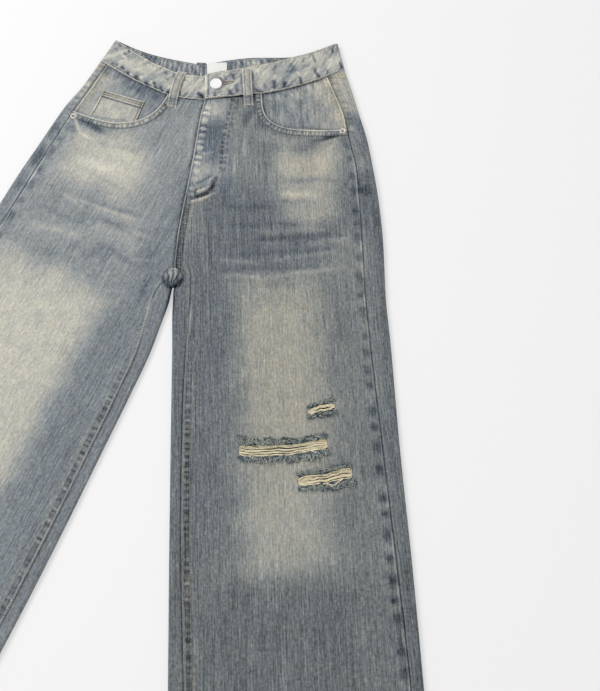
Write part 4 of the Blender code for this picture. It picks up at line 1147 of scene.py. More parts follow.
# ------------------------------------------------------------------ backs and yokes
STRIP = spaced((0, 0.0012), (0.008, 0.0012), (0.022, 0.0024)) / 0.022
FOLD_ANGLES = np.linspace(math.pi / 2, -math.pi / 2, 9)
UNDER = spaced((0, 0.003), (0.01, 0.006), (0.24, 0.006), (0.25, 0.003)) / 0.25
INNER_STRIP = spaced((0, 0.0018), (0.006, 0.0012), (0.013, 0.0012)) / 0.013
BACK_DOWNS = spaced((0, 0.0016), (0.02, 0.0026), (0.50, 0.0026), (0.53, 0.006), (0.672, 0.006),
                    (0.676, 0.002), (INSEAM, 0.002))


def column(values):
    return np.asarray(values, float)[:, None]


def back_profile(inner, side, fold, turn, downs, lift):
    """(across, down, height) of rows round a leg from the side seam, over both edges, to the
    inseam. Where the lift is 0, on the seat, the inner columns lie flat up to the centre
    back."""
    down_side, down_out, down_in = (column(d) for d in downs)
    inner, side, fold, turn, lift = (column(v) for v in (inner, side, fold, turn, lift))
    top_out, base_out = top_level(down_out), base_level(down_out)
    top_in, base_in = top_level(down_in), base_level(down_in)
    start, stop = fold - EDGE_ROUND, turn + EDGE_ROUND
    cos, sin = np.cos(FOLD_ANGLES), np.sin(FOLD_ANGLES)
    strip_across = side + (start - side) * STRIP[:-1]
    fold_across = start + EDGE_ROUND * cos[:-1]
    fold_height = (top_out + base_out) / 2 + (top_out - base_out) / 2 * sin[:-1]
    folded = np.concatenate([stop - EDGE_ROUND * cos, stop + (inner - stop) * INNER_STRIP[1:]],
                            axis=1)
    lifted = (top_in + base_in) / 2 - (top_in - base_in) / 2 * sin
    lifted = np.concatenate([lifted, top_in + 0 * INNER_STRIP[1:]], axis=1)
    flat = turn + UNDER_FLAT * (1 - np.linspace(0, 1, folded.shape[1]))
    end_across = folded * lift + flat * (1 - lift)
    end_height = lifted * lift + base_in * (1 - lift)
    under_across = start + (end_across[:, :1] - start) * UNDER[:-1]
    under_height = base_out + (base_in - base_out) * UNDER[:-1]
    across = np.concatenate([strip_across, fold_across, under_across, end_across], axis=1)
    height = np.concatenate([top_out + 0 * strip_across, fold_height, under_height, end_height],
                            axis=1)
    inwards = np.clip((start - across) / (start - end_across[:, -1:]), 0, 1)
    down = down_out + (down_in - down_out) * inwards
    down[:, : len(STRIP) - 1] = down_side + (down_out - down_side) * STRIP[:-1]
    return across, down, height


def bow(seam, across):
    """How far a seam bows from a straight line between its ends, at points across."""
    seam = seam[np.argsort(seam[:, 0])]
    straight = np.interp(across, seam[[0, -1], 0], seam[[0, -1], 1])
    return np.interp(across, seam[:, 0], seam[:, 1]) - straight


def seat_rows(half, centre_drops, side_drops):
    """Rows on the seat, each at a share of the way down from the waist at the centre back and at
    the side."""
    centre = half.centre_back(BACK_RISE * (1 - centre_drops))
    down_side = half.side_down * (1 - side_drops)
    down_out = half.front_band[-1, 1] * (1 - side_drops)
    across, down, height = back_profile(
        centre[:, 0], half.edge("side", down_side), half.edge("fold", down_out), centre[:, 0],
        (down_side, down_out, centre[:, 1]), np.zeros(len(side_drops)),
    )
    strip = len(STRIP) - 1
    under = strip + len(FOLD_ANGLES) - 1
    strip_seam = band_edge(half.front_band, 0, np.linspace(half.side_share, 1, 65))
    back_seam = band_edge(half.back_band, 0, np.linspace(0, 1, 65))
    down[:, :strip] += bow(strip_seam, across[:, :strip]) * column((1 - side_drops) ** 2)
    down[:, under:] += bow(back_seam, across[:, under:]) * column((1 - centre_drops) ** 2)
    return across, down, height


def leg_rows(half, downs):
    edges = [half.edge(name, downs) for name in LEG_COLUMNS[1:]]
    return back_profile(*edges, (downs, downs, downs), ease(downs / CROTCH_TURN))


def under_marks(half, across, down):
    """The side that the garment lies on: fades over the seat and down the thigh, darker than
    the front, with a puckered seam up the centre back and creases behind the knee."""
    marks = Marks(across.shape)
    tone = BASE_TONE[half.name] * 0.93 + fade_tone(UNDER_FADES, across, down)
    marks.add(tone=tone, warm=WARMTH[half.name])
    gap = across - half.centre_back(np.clip(-down, 0, BACK_RISE))[..., 0]
    seat = down < 0.02
    marks.lines(gap, ((0.6, 1.2, 0, 30, 0),), seat)
    bead_band(marks, gap - 0.0020, down, 0.0065, 0.0068, 5, 50, 0.0, seat)
    folds = ((0.170, 0.12), (0.215, -0.08), (0.262, 0.16), (0.410, 0.1))
    for index, (at, lean) in enumerate(folds):
        off = down - at - lean * (across - 0.14)
        reach = within(across, 0.05 + 0.02 * index, 0.24 - 0.015 * index, 0.06)
        marks.lines(off - 0.004 * wander(across, index, 0.12), ((0, 6, 0, -14, 0),), reach)
        marks.lines(off, ((9, 5, 0, 9, 0),), reach)
    return marks


def back_cloth(kind, half, rows, materials, seam_top=False):
    """A piece of the back from its rows: the upper part takes the top's marks in the measure
    that it lies high, and the rest the underside's."""
    across, down, height = rows
    marks = top_marks(half, across, down)
    under = under_marks(half, across, down)
    top, base = top_level(down), base_level(down)
    share = np.clip((height - base) / (top - base), 0, 1)
    inside = across < half.edge("fold", down) / 2
    high = share * np.where(inside & (down < 0), 0, 1)
    marks.tone = np.where(high > 0.35, marks.tone, under.tone)
    marks.warm = np.where(high > 0.35, marks.warm, under.warm)
    height = height + marks.height * high
    if seam_top:
        on_top = np.arange(across.shape[1]) < len(STRIP) + 4
        ditch = down - down[:1]
        marks.lines(ditch, ((0, 2, 0, -30, 0),), on_top)
        beaded = within(ditch, 0.003, 0.014, 0.004) * on_top
        marks.add(beaded, tone=34 * (beads(down, 0.0042, 2) - 0.45), warm=0.7)
    run = np.hypot(np.diff(across, axis=1), np.diff(height, axis=1))
    u = np.concatenate([np.zeros((len(across), 1)), np.cumsum(run, axis=1)], axis=1)
    return cloth("denim_%s_%s" % (kind, half.name), half.laid(across, down, height),
                 np.stack([u + 0.5, down], axis=-1), marks, materials, DENIM,
                 "%s_%s" % (kind, half.name), flip=half.side < 0)


def back_panel(half, materials):
    first = 1 - half.mouth[1] / half.side_down
    side_drops = spaced((YOKE_DEPTH[1], 0.006), (0.16, 0.009), (1.0, 0.009))
    centre_drops = np.interp(side_drops, (YOKE_DEPTH[1], first, 1), (YOKE_DEPTH[0], first, 1))
    pairs = zip(seat_rows(half, centre_drops, side_drops), leg_rows(half, BACK_DOWNS[1:]))
    return back_cloth("back", half, [np.concatenate(pair) for pair in pairs], materials)


def yoke(half, materials):
    """The shaped piece between the waistband and the back panel, laid over the panel's edge."""
    share = spaced((0, 0.0015), (0.01, 0.002), (0.036, 0.002)) / 0.036
    rows = seat_rows(half, share * YOKE_DEPTH[0], share * YOKE_DEPTH[1])
    return back_cloth("yoke", half, rows, materials, seam_top=True)


# ------------------------------------------------------------------ waistband
def band_lift(half, along):
    """How far the left waistband is lifted where it laps over the right one's end."""
    return BAND_LIFT * (1 - ease((along - BAND_UNDERLAP) / LIFT_FADE)) * (half.side > 0)


def band_stations(half):
    """Stations along a half of the waistband: the lower and upper edge's (across, down), height
    and the distance so far. They run from the centre front, or on the right from the end under
    the left half, over the side to the centre back."""
    step = 0.0016
    front = np.linspace(0, 1, int((half.front_band[-1, 0] - half.front_band[0, 0]) / step))
    back = np.linspace(0, 1, 100)
    angle = np.linspace(math.pi / 2, -math.pi / 2, 9)[1:-1]
    turned_by = (0.5 - angle / math.pi)[:, None]
    out = np.stack([EDGE_ROUND * np.cos(angle), 0 * angle], axis=1)
    edges = []
    for edge in (0, 1):
        line = band_edge(half.front_band, edge, front)
        behind = band_edge(half.back_band, edge, back)
        fold = line[-1] + (behind[0] - line[-1]) * turned_by + out
        if half.side < 0:
            end = np.array(RIGHT_BAND_END[2 * edge : 2 * edge + 2])
            lap = line[0] + (end - line[0]) * np.linspace(1, 0, 28)[:-1, None]
            line = np.concatenate([lap, line])
        edges.append(np.concatenate([line, fold, behind]))
    low, high = edges
    height = BAND_TOP + band_lift(half, band_edge(half.front_band, 0, front)[:, 0]
                                  - half.front_band[0, 0])
    if half.side < 0:
        height = np.concatenate([np.full(27, BAND_TOP), height])
    middle = (BAND_TOP + SEAT_BASE) / 2
    height = np.concatenate([height, middle + (BAND_TOP - middle) * np.sin(angle),
                             np.full(len(back), SEAT_BASE)])
    return low, high, height, lengths(np.column_stack([low, height]))


def band_marks(half, along, up, size):
    """The marks of the waistband. It ropes: short slanting folds cross both of its stitched
    edges, unevenly spaced, over a blotchy worn ground; its edges are rolled and pale."""
    marks = Marks(up.shape)
    seed = 30 + half.side
    down = size - up
    slant = along - 0.7 * half.side * up
    blotch = patches(slant, up, 0.011, seed)
    blotch = blotch + 0.7 * patches(slant * 1.3, up * 0.8, 0.0052, seed + 5)
    long = patches(along, up, 0.032, seed + 9)
    fine = patches(slant, up * 0.16, 0.0030, seed + 2)
    fine = fine * (0.6 + 0.7 * np.maximum(hump(up - 0.009, 0.008), hump(down - 0.008, 0.007)))
    marks.add(1, 0.0006 * blotch + 0.0003 * fine, 175 + 17 * blotch + 8 * long + 25 * fine)
    line_marks(marks, LEFT_BAND_FOLDS if half.side > 0 else RIGHT_BAND_FOLDS, along, up)
    beyond = ease((along - 0.222) / 0.01)
    for distance, lean, own_seed in ((up, 0.5, 3), (down, 0.3, 7)):
        # small puckers at the stitching, stronger on the hidden back
        bead = beads(along + lean * distance, 0.0068, own_seed + half.side)
        band = within(distance, 0.0026, 0.0085, 0.0050)
        marks.add(band * (1 + 1.2 * beyond), tone=24 * (bead - 0.42), height=0.0004 * bead)
    marks.lines(up, ((0.8, 1.0, 0.4, 48, 0), (2.8, 0.8, -0.3, -48, 0), (4.4, 0.9, 0.2, 12, 0)))
    marks.lines(up, ((6.0, 4.5, 0, -20, 0),), 1 - beyond)
    marks.lines(down, ((0.2, 0.7, 0, -44, 1), (1.6, 0.9, 0.3, 36, 0), (3.4, 0.8, 0, -24, 0.3)))
    marks.add(warm=-0.06 + 0.45 * np.clip((165 - marks.tone) / 60, -0.1, 1) + 0.10 * long)
    marks.add(warm=-0.40 * ease((marks.tone - 168) / 34))
    return marks


def waistband_surface(half):
    """Points, UV and marks of the waistband's outer face: rows up it, stations along it."""
    low, high, level, along = band_stations(half)
    size = np.linalg.norm(high - low, axis=1)
    shares = spaced((0, 0.0010), (0.006, 0.0011), (0.012, 0.0018), (0.032, 0.0018),
                    (0.038, 0.0011), (0.044, 0.0009))[:, None] / 0.044
    flat = low + (high - low) * shares[..., None]
    up = size * shares
    along = np.broadcast_to(along, up.shape)
    marks = band_marks(half, along, up, size + 0 * up)
    front = np.clip((level - SEAT_BASE) / (BAND_TOP - SEAT_BASE), 0, 1)
    back = ease((0.3 - front) / 0.2)
    from_top = size * (1 - shares)
    ends = within(from_top, 0.0030, 0.0200, 0.006)
    marks.add(back, tone=-16 + 78 * (beads(along, 0.0076, 5 + half.side) - 0.45) * ends, warm=-0.2)
    marks.lines(from_top, ((0.6, 1.4, 0, -46, 1.2),), back)
    if half.side > 0:
        marks.lines(along, ((1.4, 1.6, 0.4, 40, 0), (4.6, 0.9, -0.3, -58, 0)))
    else:
        # the shade where the left half's end lies over it
        gap = np.linalg.norm(flat - half.front_band[0, :2], axis=-1)
        marks.lines(gap, ((2, 5, 0, -30, 0),))
    points = half.laid(flat[..., 0], flat[..., 1], level + marks.height * front)
    return points, np.stack([up + 6, along], axis=-1), marks


def waistband(half, surface, materials):
    return cloth("denim_waistband_" + half.name, *surface, materials, DOUBLED,
                 "waistband_" + half.name, flip=half.side > 0)


# ------------------------------------------------------------------ pockets
def facing_height(half, across, down):
    """The facing lies a layer below the front, and climbs to the back's strip at the side."""
    slow = billow(half, across, down)
    low = SEAT_TOP - DENIM - 0.0006 + 0.6 * slow
    at_side = 1 - ease((half.edge("side", down) - across - 0.002) / 0.012)
    return low + (SEAT_TOP - 0.0002 + slow - low) * at_side


def facing(half, materials):
    """The denim inside a pocket's mouth: a sheet from the waist seam and the side seam to an
    edge hidden under the front."""
    t = np.linspace(0, 1, 60)[:, None]
    s = spaced((0, 0.0026), (0.108, 0.0026), (0.122, 0.0011), (0.134, 0.0011)) / 0.134
    across_top, down_side = half.mouth[0] - FACING_REACH, half.mouth[1] + FACING_REACH
    side = half.edge("side", half.side_down + t * (down_side - half.side_down)) + 0.0006
    across = across_top + (side - across_top) * s
    limit = half.seam(half.edge("side", half.side_down))
    seam = np.maximum(half.seam(across), limit) - FACING_TUCK
    down = seam + t * (down_side - seam)
    marks = facing_marks(half, across, down)
    height = facing_height(half, across, down) + marks.height
    return cloth("denim_facing_" + half.name, half.laid(across, down, height),
                 np.stack([across + 1, down], axis=-1), marks, materials, LIGHT_DENIM,
                 "pocket_facing_" + half.name, "facing_denim", flip=half.side < 0)


def facing_marks(half, across, down):
    """Blue in the middle and paler to the side, in the mouth's shade along its edges, with the
    side seam's lip."""
    marks = Marks(across.shape)
    left = half.side > 0
    waist = down - half.seam(across)
    side = half.edge("side", down) - across
    gap = np.abs(nearest(half.mouth_line, across, down)[0])
    paler = 1 - ease((side - 0.006) / 0.060)
    marks.add(tone=138 + 26 * paler, warm=WARMTH[half.name] * (0.4 + 0.6 * paler))
    marks.add(tone=7 * patches(across, down, 0.016, 4) + 12 * hump(waist - 0.014, 0.010) * left)
    # pale and dark fine lines down the cloth
    fine = patches(across, down * 0.12, 0.0021, 12)
    marks.add(tone=(24 if left else 12) * fine * ease(1.5 - paler))
    strokes = patches(across - 0.3 * waist, waist * 0.3, 0.0042, 8)
    marks.add(within(waist, 0.002, 0.016, 0.010), tone=(-2 if left else -22) + 26 * strokes)
    marks.lines(gap, ((0, 3.6, 0, -34, 0),))
    marks.lines(waist, ((0, 3, 0, -40, 0),))
    marks.lines(side, ((0, 1, -0.4, -56, 0.3), (2, 1.2, 0.4, 34, 0.3), (4.2, 1, 0, -22, 0.5)))
    marks.add(within(side, 0.0046, 0.0110, 0.002), tone=22 * (beads(down, 0.0062, 4) - 0.5),
              warm=0.3)
    return marks


# A coin pocket's top: a pale rolled edge, a groove with tan thread, a second roll, a groove and
# a pressed line (millimetres below the edge, width, height; tone, warmth)
COIN_EDGE = (
    (0.7, 1.2, 0.6, 30, -0.3),
    (2.6, 0.9, -0.4, -64, 0.6),
    (4.8, 1.4, 0.5, 10, 0.6),
    (6.8, 0.8, -0.3, -46, 0.9),
    (8.6, 1.0, 0.4, 26, -0.3),
    (10.6, 1.2, -0.5, -70, 0.1),
)


def coin_pocket(materials):
    """A small patch pocket on the right facing, with a rolled and double-stitched top edge."""
    s = np.linspace(0, 1, 60)[:, None]
    t = spaced((0, 0.0009), (0.014, 0.0009), (0.02, 0.0020), (0.065, 0.0020)) / 0.065
    t = t[:, None, None]
    top_in, top_out, low_out, low_in = np.array(COIN_POCKET)
    corners = (top_in + (top_out - top_in) * s) * (1 - t) + (low_in + (low_out - low_in) * s) * t
    across, down = corners[..., 0], corners[..., 1]
    depth = t[..., 0] * 0.065 + 0 * across
    from_side = np.minimum(s, 1 - s)[:, 0] * 0.066 + 0 * across
    marks = Marks(across.shape)
    mottle = patches(across, down, 0.012, 3)
    marks.add(tone=170 + 8 * mottle + 8 * ease((depth - 0.01) / 0.02), warm=0.16)
    # a spot of painted shadow, just inside the edge of the pocket's mouth
    marks.add(hump(across - 0.183, 0.0040) * hump(down + 0.186, 0.0030), tone=-60)
    marks.lines(depth, COIN_EDGE)
    marks.lines(from_side, ((0, 4.5, 0, -14, 1.0),), 1 - ease((depth - 0.008) / 0.003))
    marks.lines(from_side, ((0.8, 1.1, 0.3, 20, 0), (3.0, 1.0, 0, -28, 0.5)))
    marks.add(hump(from_side - 0.0048, 0.0024), tone=20 * (beads(depth, 0.007, 3) - 0.4))
    z = facing_height(RIGHT, across, down) + LIGHT_DENIM + 0.0003 + marks.height
    return cloth("denim_coin_pocket", RIGHT.laid(across, down, z),
                 np.stack([across + 2, down], axis=-1), marks, materials, LIGHT_DENIM,
                 "coin_pocket", "facing_denim", flip=True)


def back_pocket(half, materials):
    """A plain patch pocket with a point at the bottom, under the seat. Its lower face lies on
    the surface, so its outer side looks down."""
    width, height, low_width, point = BACK_POCKET
    middle, top = BACK_POCKET_AT
    s = np.linspace(-1, 1, 60)
    t = spaced((0, 0.0016), (0.02, 0.0028), (height, 0.0028))[:, None] / height
    reach = (height - point * np.abs(s)) / height
    taper = width / 2 + (low_width - width) / 2 * np.minimum(t / (1 - point / height), 1)
    across, down = middle + taper * s, top + t * reach * height
    edge = np.minimum((1 - np.abs(s)) * taper, (reach * (1 - t)) * height)
    marks = Marks(across.shape)
    marks.add(tone=140, warm=WARMTH[half.name])
    marks.lines(edge, ((0, 1.6, 0, 26, 0), (3.5, 1.4, 0, -30, 0.4)))
    marks.add(hump(edge - 0.004, 0.004), tone=26 * (beads(down + across, 0.008, 2) - 0.5))
    marks.lines(t * height + 0 * s, ((0, 1.6, 0, 24, 0), (12, 1.4, 0, -26, 0.4)))
    return cloth("denim_back_pocket_" + half.name, half.laid(across, down, DENIM),
                 np.stack([across + 3, down], axis=-1), marks, materials, DENIM,
                 "back_pocket_" + half.name, flip=half.side > 0, offset=1.0)


# ------------------------------------------------------------------ belt loops
def loop_surface(half):
    """A front belt loop: a strip with rolled edges that starts below the waistband's seam,
    climbs onto it and arches a little over it. Its ends turn under."""
    across, down, lean = FRONT_LOOPS[half.name]
    share = np.linspace(0, 1, 52)[:, None]
    width = LOOP_WIDTH / 2
    x = np.linspace(-1, 1, 17) * width
    middle = across + lean * LOOP_LENGTH * share + LOOP_BEND[half.name] * share**4
    onto = ease((share - 0.02) / 0.16)
    level = BAND_TOP + band_lift(half, middle + x - 0.004 - half.front_band[0, 0])
    arch = 0.0024 * np.sin(math.pi * np.clip((share - 0.12) / 0.88, 0, 1)) ** 0.7
    arch = arch * (1 - 0.10 * (x / width) ** 2)
    rounded = 0.0007 * (np.abs(x) / width) ** 6
    rounded = rounded + 0.0010 * (hump(share, 0.03) + hump(1 - share, 0.03))
    z = SEAT_TOP + (level - SEAT_TOP) * onto + 0.0014 + arch - rounded
    stitched = np.abs(np.abs(x) - width + 0.0030) + 0 * share
    z = z - 0.0005 * hump(stitched, 0.0009) + 0.0003 * hump(x, 0.0030)
    marks = Marks(z.shape)
    fray = patches(share * LOOP_LENGTH + 0 * x, x + 0 * share, 0.004, 6 + half.side)
    marks.add(tone=168 + 12 * fray, warm=0.2)
    marks.lines(np.abs(x) - width, ((-0.8, 1.3, 0, 24, -0.6),))
    marks.lines(stitched, ((0, 0.9, 0, -40, 0.5),))
    marks.lines(x, ((0.6, 1.0, 0, -14, 0.3),))
    marks.add(1 - ease((share - 0.18) / 0.10), tone=-20, warm=-0.2)
    for at, wide, tone in ((0.19, 0.020, -40), (0.02, 0.020, 46), (0.97, 0.05, 14)):
        marks.add(hump(share - at, wide), tone=tone)
    down_all = down - LOOP_LENGTH * share + lean * x
    uv = np.stack([x + 4 + 0 * share, down_all], axis=-1)
    return half.laid(middle + x, down_all, z), uv, marks


def front_loop(half, materials):
    return cloth("denim_belt_loop_front_" + half.name, *loop_surface(half), materials, DENIM,
                 "belt_loop_front_" + half.name, flip=half.side > 0)


def back_loop(name, middle, turn, materials):
    """A belt loop under the back of the waistband, level on the surface."""
    y = np.linspace(-0.5, 0.5, 40)[:, None] * LOOP_LENGTH
    x = np.linspace(-1, 1, 13) * LOOP_WIDTH / 2 + 0 * y
    y = y + 0 * x
    marks = Marks(x.shape)
    marks.add(tone=150 + 12 * wander(y, 2, 0.016), warm=0.4)
    marks.lines(np.abs(x), ((4.5, 1.0, 0, -34, 0.5),))
    cos, sin = math.cos(turn), math.sin(turn)
    points = np.stack([middle[0] + x * cos - y * sin, middle[1] + x * sin + y * cos,
                       np.full(x.shape, DENIM)], axis=-1)
    return cloth("denim_belt_loop_" + name, points, np.stack([x + 5, y], axis=-1), marks,
                 materials, DENIM, "belt_loop_" + name)


# The bunched seams' pleats: where each crosses the middle, how wide and how strong it is
KNOT_PLEATS = (
    (-0.0092, 0.0010, 0.9),
    (-0.0062, 0.0009, -1.0),
    (-0.0026, 0.0026, 0.9),
    (0.0006, 0.0008, -0.9),
    (0.0030, 0.0014, 1.0),
    (0.0058, 0.0012, -0.7),
    (0.0086, 0.0009, 0.6),
)


def crotch_knot(material):
    """The four panels' seams bunch where they meet: a dome whose pleats fan upwards from its foot,
    with a pale rolled rim on top. Painted shade darkens its foot, its right side, its pleats'
    hollows and its outline, and painted highlight lightens its pleats' ridges."""
    turns = np.linspace(0, 2 * math.pi, 97)
    rings = spaced((0, 0.035), (0.8, 0.035), (1, 0.02))[:, None]
    y = rings * np.cos(turns) * 0.0150 + 0.0116
    taper = 1 - 0.55 * ease((0.0130 - y) / 0.0150) ** 1.5
    x = rings * np.sin(turns) * 0.0136 * taper
    bowed = x + 0.0010 * np.sin(y * 330) - 0.04 * (y - 0.011)
    spread = bowed * 0.0232 / (y + 0.0120) + 0.0008 * patches(x, y, 0.0045, 8)
    pleats = sum(strong * hump(spread - at, wide) for at, wide, strong in KNOT_PLEATS)
    dome = np.sqrt(np.maximum(1 - rings**2.6, 0))
    below = ease(0.5 - (y - 0.009) / 0.014)
    marks = Marks(x.shape)
    # painted shade: the dome darkens towards its foot
    marks.add(tone=126 - 40 * below + 16 * patches(x, y, 0.0032, 3), warm=0.35,
              height=dome * 0.0052)
    # the pleats: painted highlight on their ridges and painted shade in their hollows, and painted
    # shade over the right side
    marks.add(dome, 0.0009 * pleats, 44 * pleats - 16 * (x > 0.0060), -0.2 * pleats)
    arch = hump(rings - 0.86, 0.08) * (1 - below) * ease(1.2 - np.abs(x - 0.002) / 0.006)
    marks.add(arch, tone=44, warm=-0.3, height=0.0009)
    # a ring of painted shade round the dome's outline
    marks.add(hump(rings - 1.0, 0.08), tone=-46)
    plan = np.stack([x, y], axis=-1) + LEFT.place(*KNOT_MIDDLE)
    z = top_level(KNOT_MIDDLE[1]) - 0.0008 + marks.height
    points = np.concatenate([plan, z[..., None]], axis=-1)
    return cloth("denim_crotch_knot", points, np.stack([x + 7, y], axis=-1), marks, [material],
                 0.0008, flip=True)


def mouth_hem(half, material):
    """The rolled hem of a pocket's mouth: a folded band on the front, puckered between its two
    rows of stitching, with a pale worn fold."""
    gaps = np.array([-0.0002, 0.0005, 0.0012, 0.0020, 0.0027, 0.0034, 0.0045, 0.0058, 0.0070,
                     0.0080, 0.0087, 0.0094, 0.0101])
    line = resampled(half.mouth_line, 240)
    rows = np.stack([beside(line, -gap) for gap in gaps])
    across, down = rows[..., 0], rows[..., 1]
    gap = gaps[:, None] + 0 * across
    along = np.linspace(0, lengths(line)[-1], 240) + 0 * across
    left = half.side > 0
    marks = Marks(across.shape)
    marks.add(tone=front_marks(half, across, down).tone + (18 if left else 8), warm=0.42)
    marks.lines(gap, ((0.6, 1.0, 0.6, 44 if left else 36, -0.5), (2.6, 0.8, -0.4, -52, 0.6),
                      (9.4, 0.9, -0.5, -52, 0.7)))
    bead = beads(along, 0.0058 if left else 0.0074, 6 + half.side)
    small = beads(along, 0.0027, 4)
    band = within(gap, 0.0030, 0.0088, 0.0016)
    marks.add(band, 0.0009 * bead, 60 * bead + 14 * small - 36, -0.1)
    height = front_height(half, across, down) + 0.0003 + marks.height
    return cloth("denim_mouth_hem_" + half.name, half.laid(across, down, height), rows, marks,
                 [material], 0.0006, flip=left)


# ------------------------------------------------------------------ metal
def turned(profile, middle, radius, top, sides, name, node, material):
    """A round piece: a profile turned about the vertical, closed by small discs of quads at both
    ends. Each point of the profile is a share of the radius and a height from the top."""
    profile = np.array(profile, float)
    angle = np.linspace(0, 2 * math.pi, sides, endpoint=False)
    ring = np.stack([np.cos(angle), np.sin(angle)], axis=1)
    xy = radius * profile[:, 0][:, None, None] * ring + np.array(middle)
    z = np.broadcast_to((top + profile[:, 1])[:, None, None], (len(profile), sides, 1))
    points = np.concatenate([xy, z], axis=-1).reshape(-1, 3)
    index = np.arange(len(points)).reshape(len(profile), sides)
    after = np.roll(index, -1, axis=1)
    faces = [np.stack([index[:-1], after[:-1], after[1:], index[1:]], axis=-1).reshape(-1, 4)]
    k = np.arange(sides // 2 - 1)
    for edge, order in ((index[0], (3, 2, 1, 0)), (index[-1], (0, 1, 2, 3))):
        quad = np.stack([edge[k], edge[k + 1], edge[sides - 2 - k], edge[sides - 1 - k]], axis=-1)
        faces.append(quad[:, order])
    made = mesh_piece(name, points, np.concatenate(faces), [material])
    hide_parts(node)
    return made


def button(metal):
    """A shank button: a narrow shank under a flat cap with a rolled rim."""
    radius = 0.0089
    low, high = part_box("button")
    shank = 0.0013 / radius
    profile = [
        (shank, low[2] - high[2]), (shank, -0.0030), (0.90, -0.0029), (0.985, -0.0023),
        (1, -0.0015), (0.985, -0.0008), (0.93, -0.0002), (0.86, 0), (0.78, -0.0001),
        (0.72, -0.0003), (0.64, -0.0004), (0.40, -0.0002), (0.20, -0.0001),
        (0.0004 / radius, -0.0001),
    ]
    return turned(profile, LEFT.place(*BUTTON_AT), radius, high[2], 64, "shank_button", "button",
                  metal)


def rivet(half, metal):
    """A low round rivet: a broad rim round a sunk middle."""
    node = "rivet_" + half.name
    low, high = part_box(node)
    top = high[2] + 0.0004
    profile = [
        (0.97, low[2] - 0.0004 - top), (1, low[2] + 0.0004 - top), (0.95, -0.0003),
        (0.84, -0.0001), (0.70, -0.0002), (0.52, -0.0006), (0.44, -0.0013), (0.30, -0.0016),
        (0.05, -0.0016),
    ]
    middle = ((low[0] + high[0]) / 2, (low[1] + high[1]) / 2)
    return turned(profile, middle, (high[0] - low[0]) / 2, top, 40, "rivet_cap_" + half.name,
                  node, metal)


def label(tape):
    """A blank label sewn inside the back of the waistband, its lower part under the front."""
    s = np.linspace(-0.5, 0.5, 30)
    t = s[:, None]
    across = LABEL_AT[0] + LABEL_SIZE[0] * s + 0 * t
    down = LABEL_AT[1] + LABEL_SIZE[1] * t + 0 * s
    curl = 0.0005 * np.cos(3.0 * s) + 0.0002 * wander(across + down, 2, 0.02)
    points = LEFT.laid(across, down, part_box("label")[1][2] + 0.0003 + curl)
    return cloth("blank_label", points, np.stack([across, down], axis=-1), Marks(across.shape),
                 [tape], 0.0004, "label", "label_cloth")


# ------------------------------------------------------------------ rips
def on_rip(rip, x, y, height):
    """Points in space: x along a rip and y across it from its middle, at a height."""
    cos, sin = math.cos(rip["tilt"]), math.sin(rip["tilt"])
    across, down = rip["across"] + x * cos - y * sin, rip["down"] + x * sin + y * cos
    if height is None:
        height = front_height(LEFT, across, down)
    return LEFT.laid(across, down, height)


# The cords that span each rip: each bundle's level at both ends (-1 the upper edge, 1 the lower),
# how many threads it has and how far they spread
CORDS = {
    "upper": ((-0.46, -0.50, 5, 0.0020), (0.40, 0.34, 4, 0.0014)),
    "middle": (
        (-0.67, -0.62, 7, 0.0021),
        (-0.06, -0.06, 3, 0.0008),
        (0.36, 0.30, 3, 0.0007),
        (0.82, 0.62, 3, 0.0008),
    ),
    "lower": (
        (-0.50, -0.74, 4, 0.0012),
        (-0.06, -0.36, 4, 0.0010),
        (0.42, 0.16, 5, 0.0014),
        (0.84, 0.62, 2, 0.0004),
    ),
}


def weft_threads(name, seed):
    """The undyed crosswise threads that still span a rip: bundles that run in shallow waves from
    end to end, darkened to brown by painted shadow under the upper edge. Returns points, faces and
    each point's tone."""
    rip = RIPS[name]
    random = np.random.default_rng(seed)
    steps = 44
    share = np.linspace(-1, 1, steps)
    bundles = np.array(CORDS[name])
    owner = np.repeat(np.arange(len(bundles)), bundles[:, 2].astype(int))
    start, end, _, spread = bundles[owner].T[..., None]
    place = np.concatenate([np.linspace(-1, 1, row[2]) for row in CORDS[name]])
    count = len(owner)
    x = share * (rip["long"] + 0.0012)
    level = start + (end - start) * (share + 1) / 2
    wave = random.uniform(0, 6.28, (count, 1))
    bundle_wave = (owner * 0.35 + seed)[:, None]
    taper = (1 - np.abs(share) ** rip["square"]) ** max(0.1, 1 - rip["square"] / 4)
    y = level * rip_reach(rip, x) + place[:, None] * spread * (1 - 0.35 * np.cos(2.2 * share))
    y = y * taper
    y = y + 0.0006 * np.sin(share * 7 + bundle_wave) + 0.00040 * np.sin(share * 15 + bundle_wave)
    y = y + 0.00016 * np.sin(share * 23 + wave) + rip_bend(rip, x)
    base = front_height(LEFT, np.full((1, 1), rip["across"]), np.full((1, 1), rip["down"]))[0, 0]
    lift = random.uniform(-0.0002, 0.0007, (count, 1)) * (1 - share**4)
    z = base - DENIM * 0.5 + lift - 0.0007 * np.abs(share) ** 12
    radius = random.uniform(0.00040, 0.00058, (count, 1)) * (1 + 0.12 * np.sin(share * 12 + wave))
    points, faces = tubes(on_rip(rip, np.broadcast_to(x, y.shape), y, z), radius, 6)
    tone = np.repeat(random.uniform(0.60, 1.05, (count, 1)) + 0.20 * np.sin(share * 9 + wave), 6)
    # painted shadow: the threads near the upper edge, under the fringe, darken to brown
    shade = np.repeat(np.clip((level + 1.02) / 0.50, 0.0, 1.0), 6)
    return points, faces, tone * (0.30 + 0.70 * shade.ravel())


# Single threads that have come loose: (along, level) knots as shares of a rip's half length and
# half height
STRAYS = {
    "upper": (),
    "middle": (((0.44, 0.35), (0.56, 0.50), (0.66, 0.85), (0.74, 1.15)),),
    "lower": (
        ((0.02, 0.95), (0.14, 1.30), (0.30, 1.38), (0.44, 1.02), (0.62, 0.70)),
        ((-0.98, -0.4), (-0.80, -0.72), (-0.50, -0.80), (-0.25, -0.60)),
    ),
}


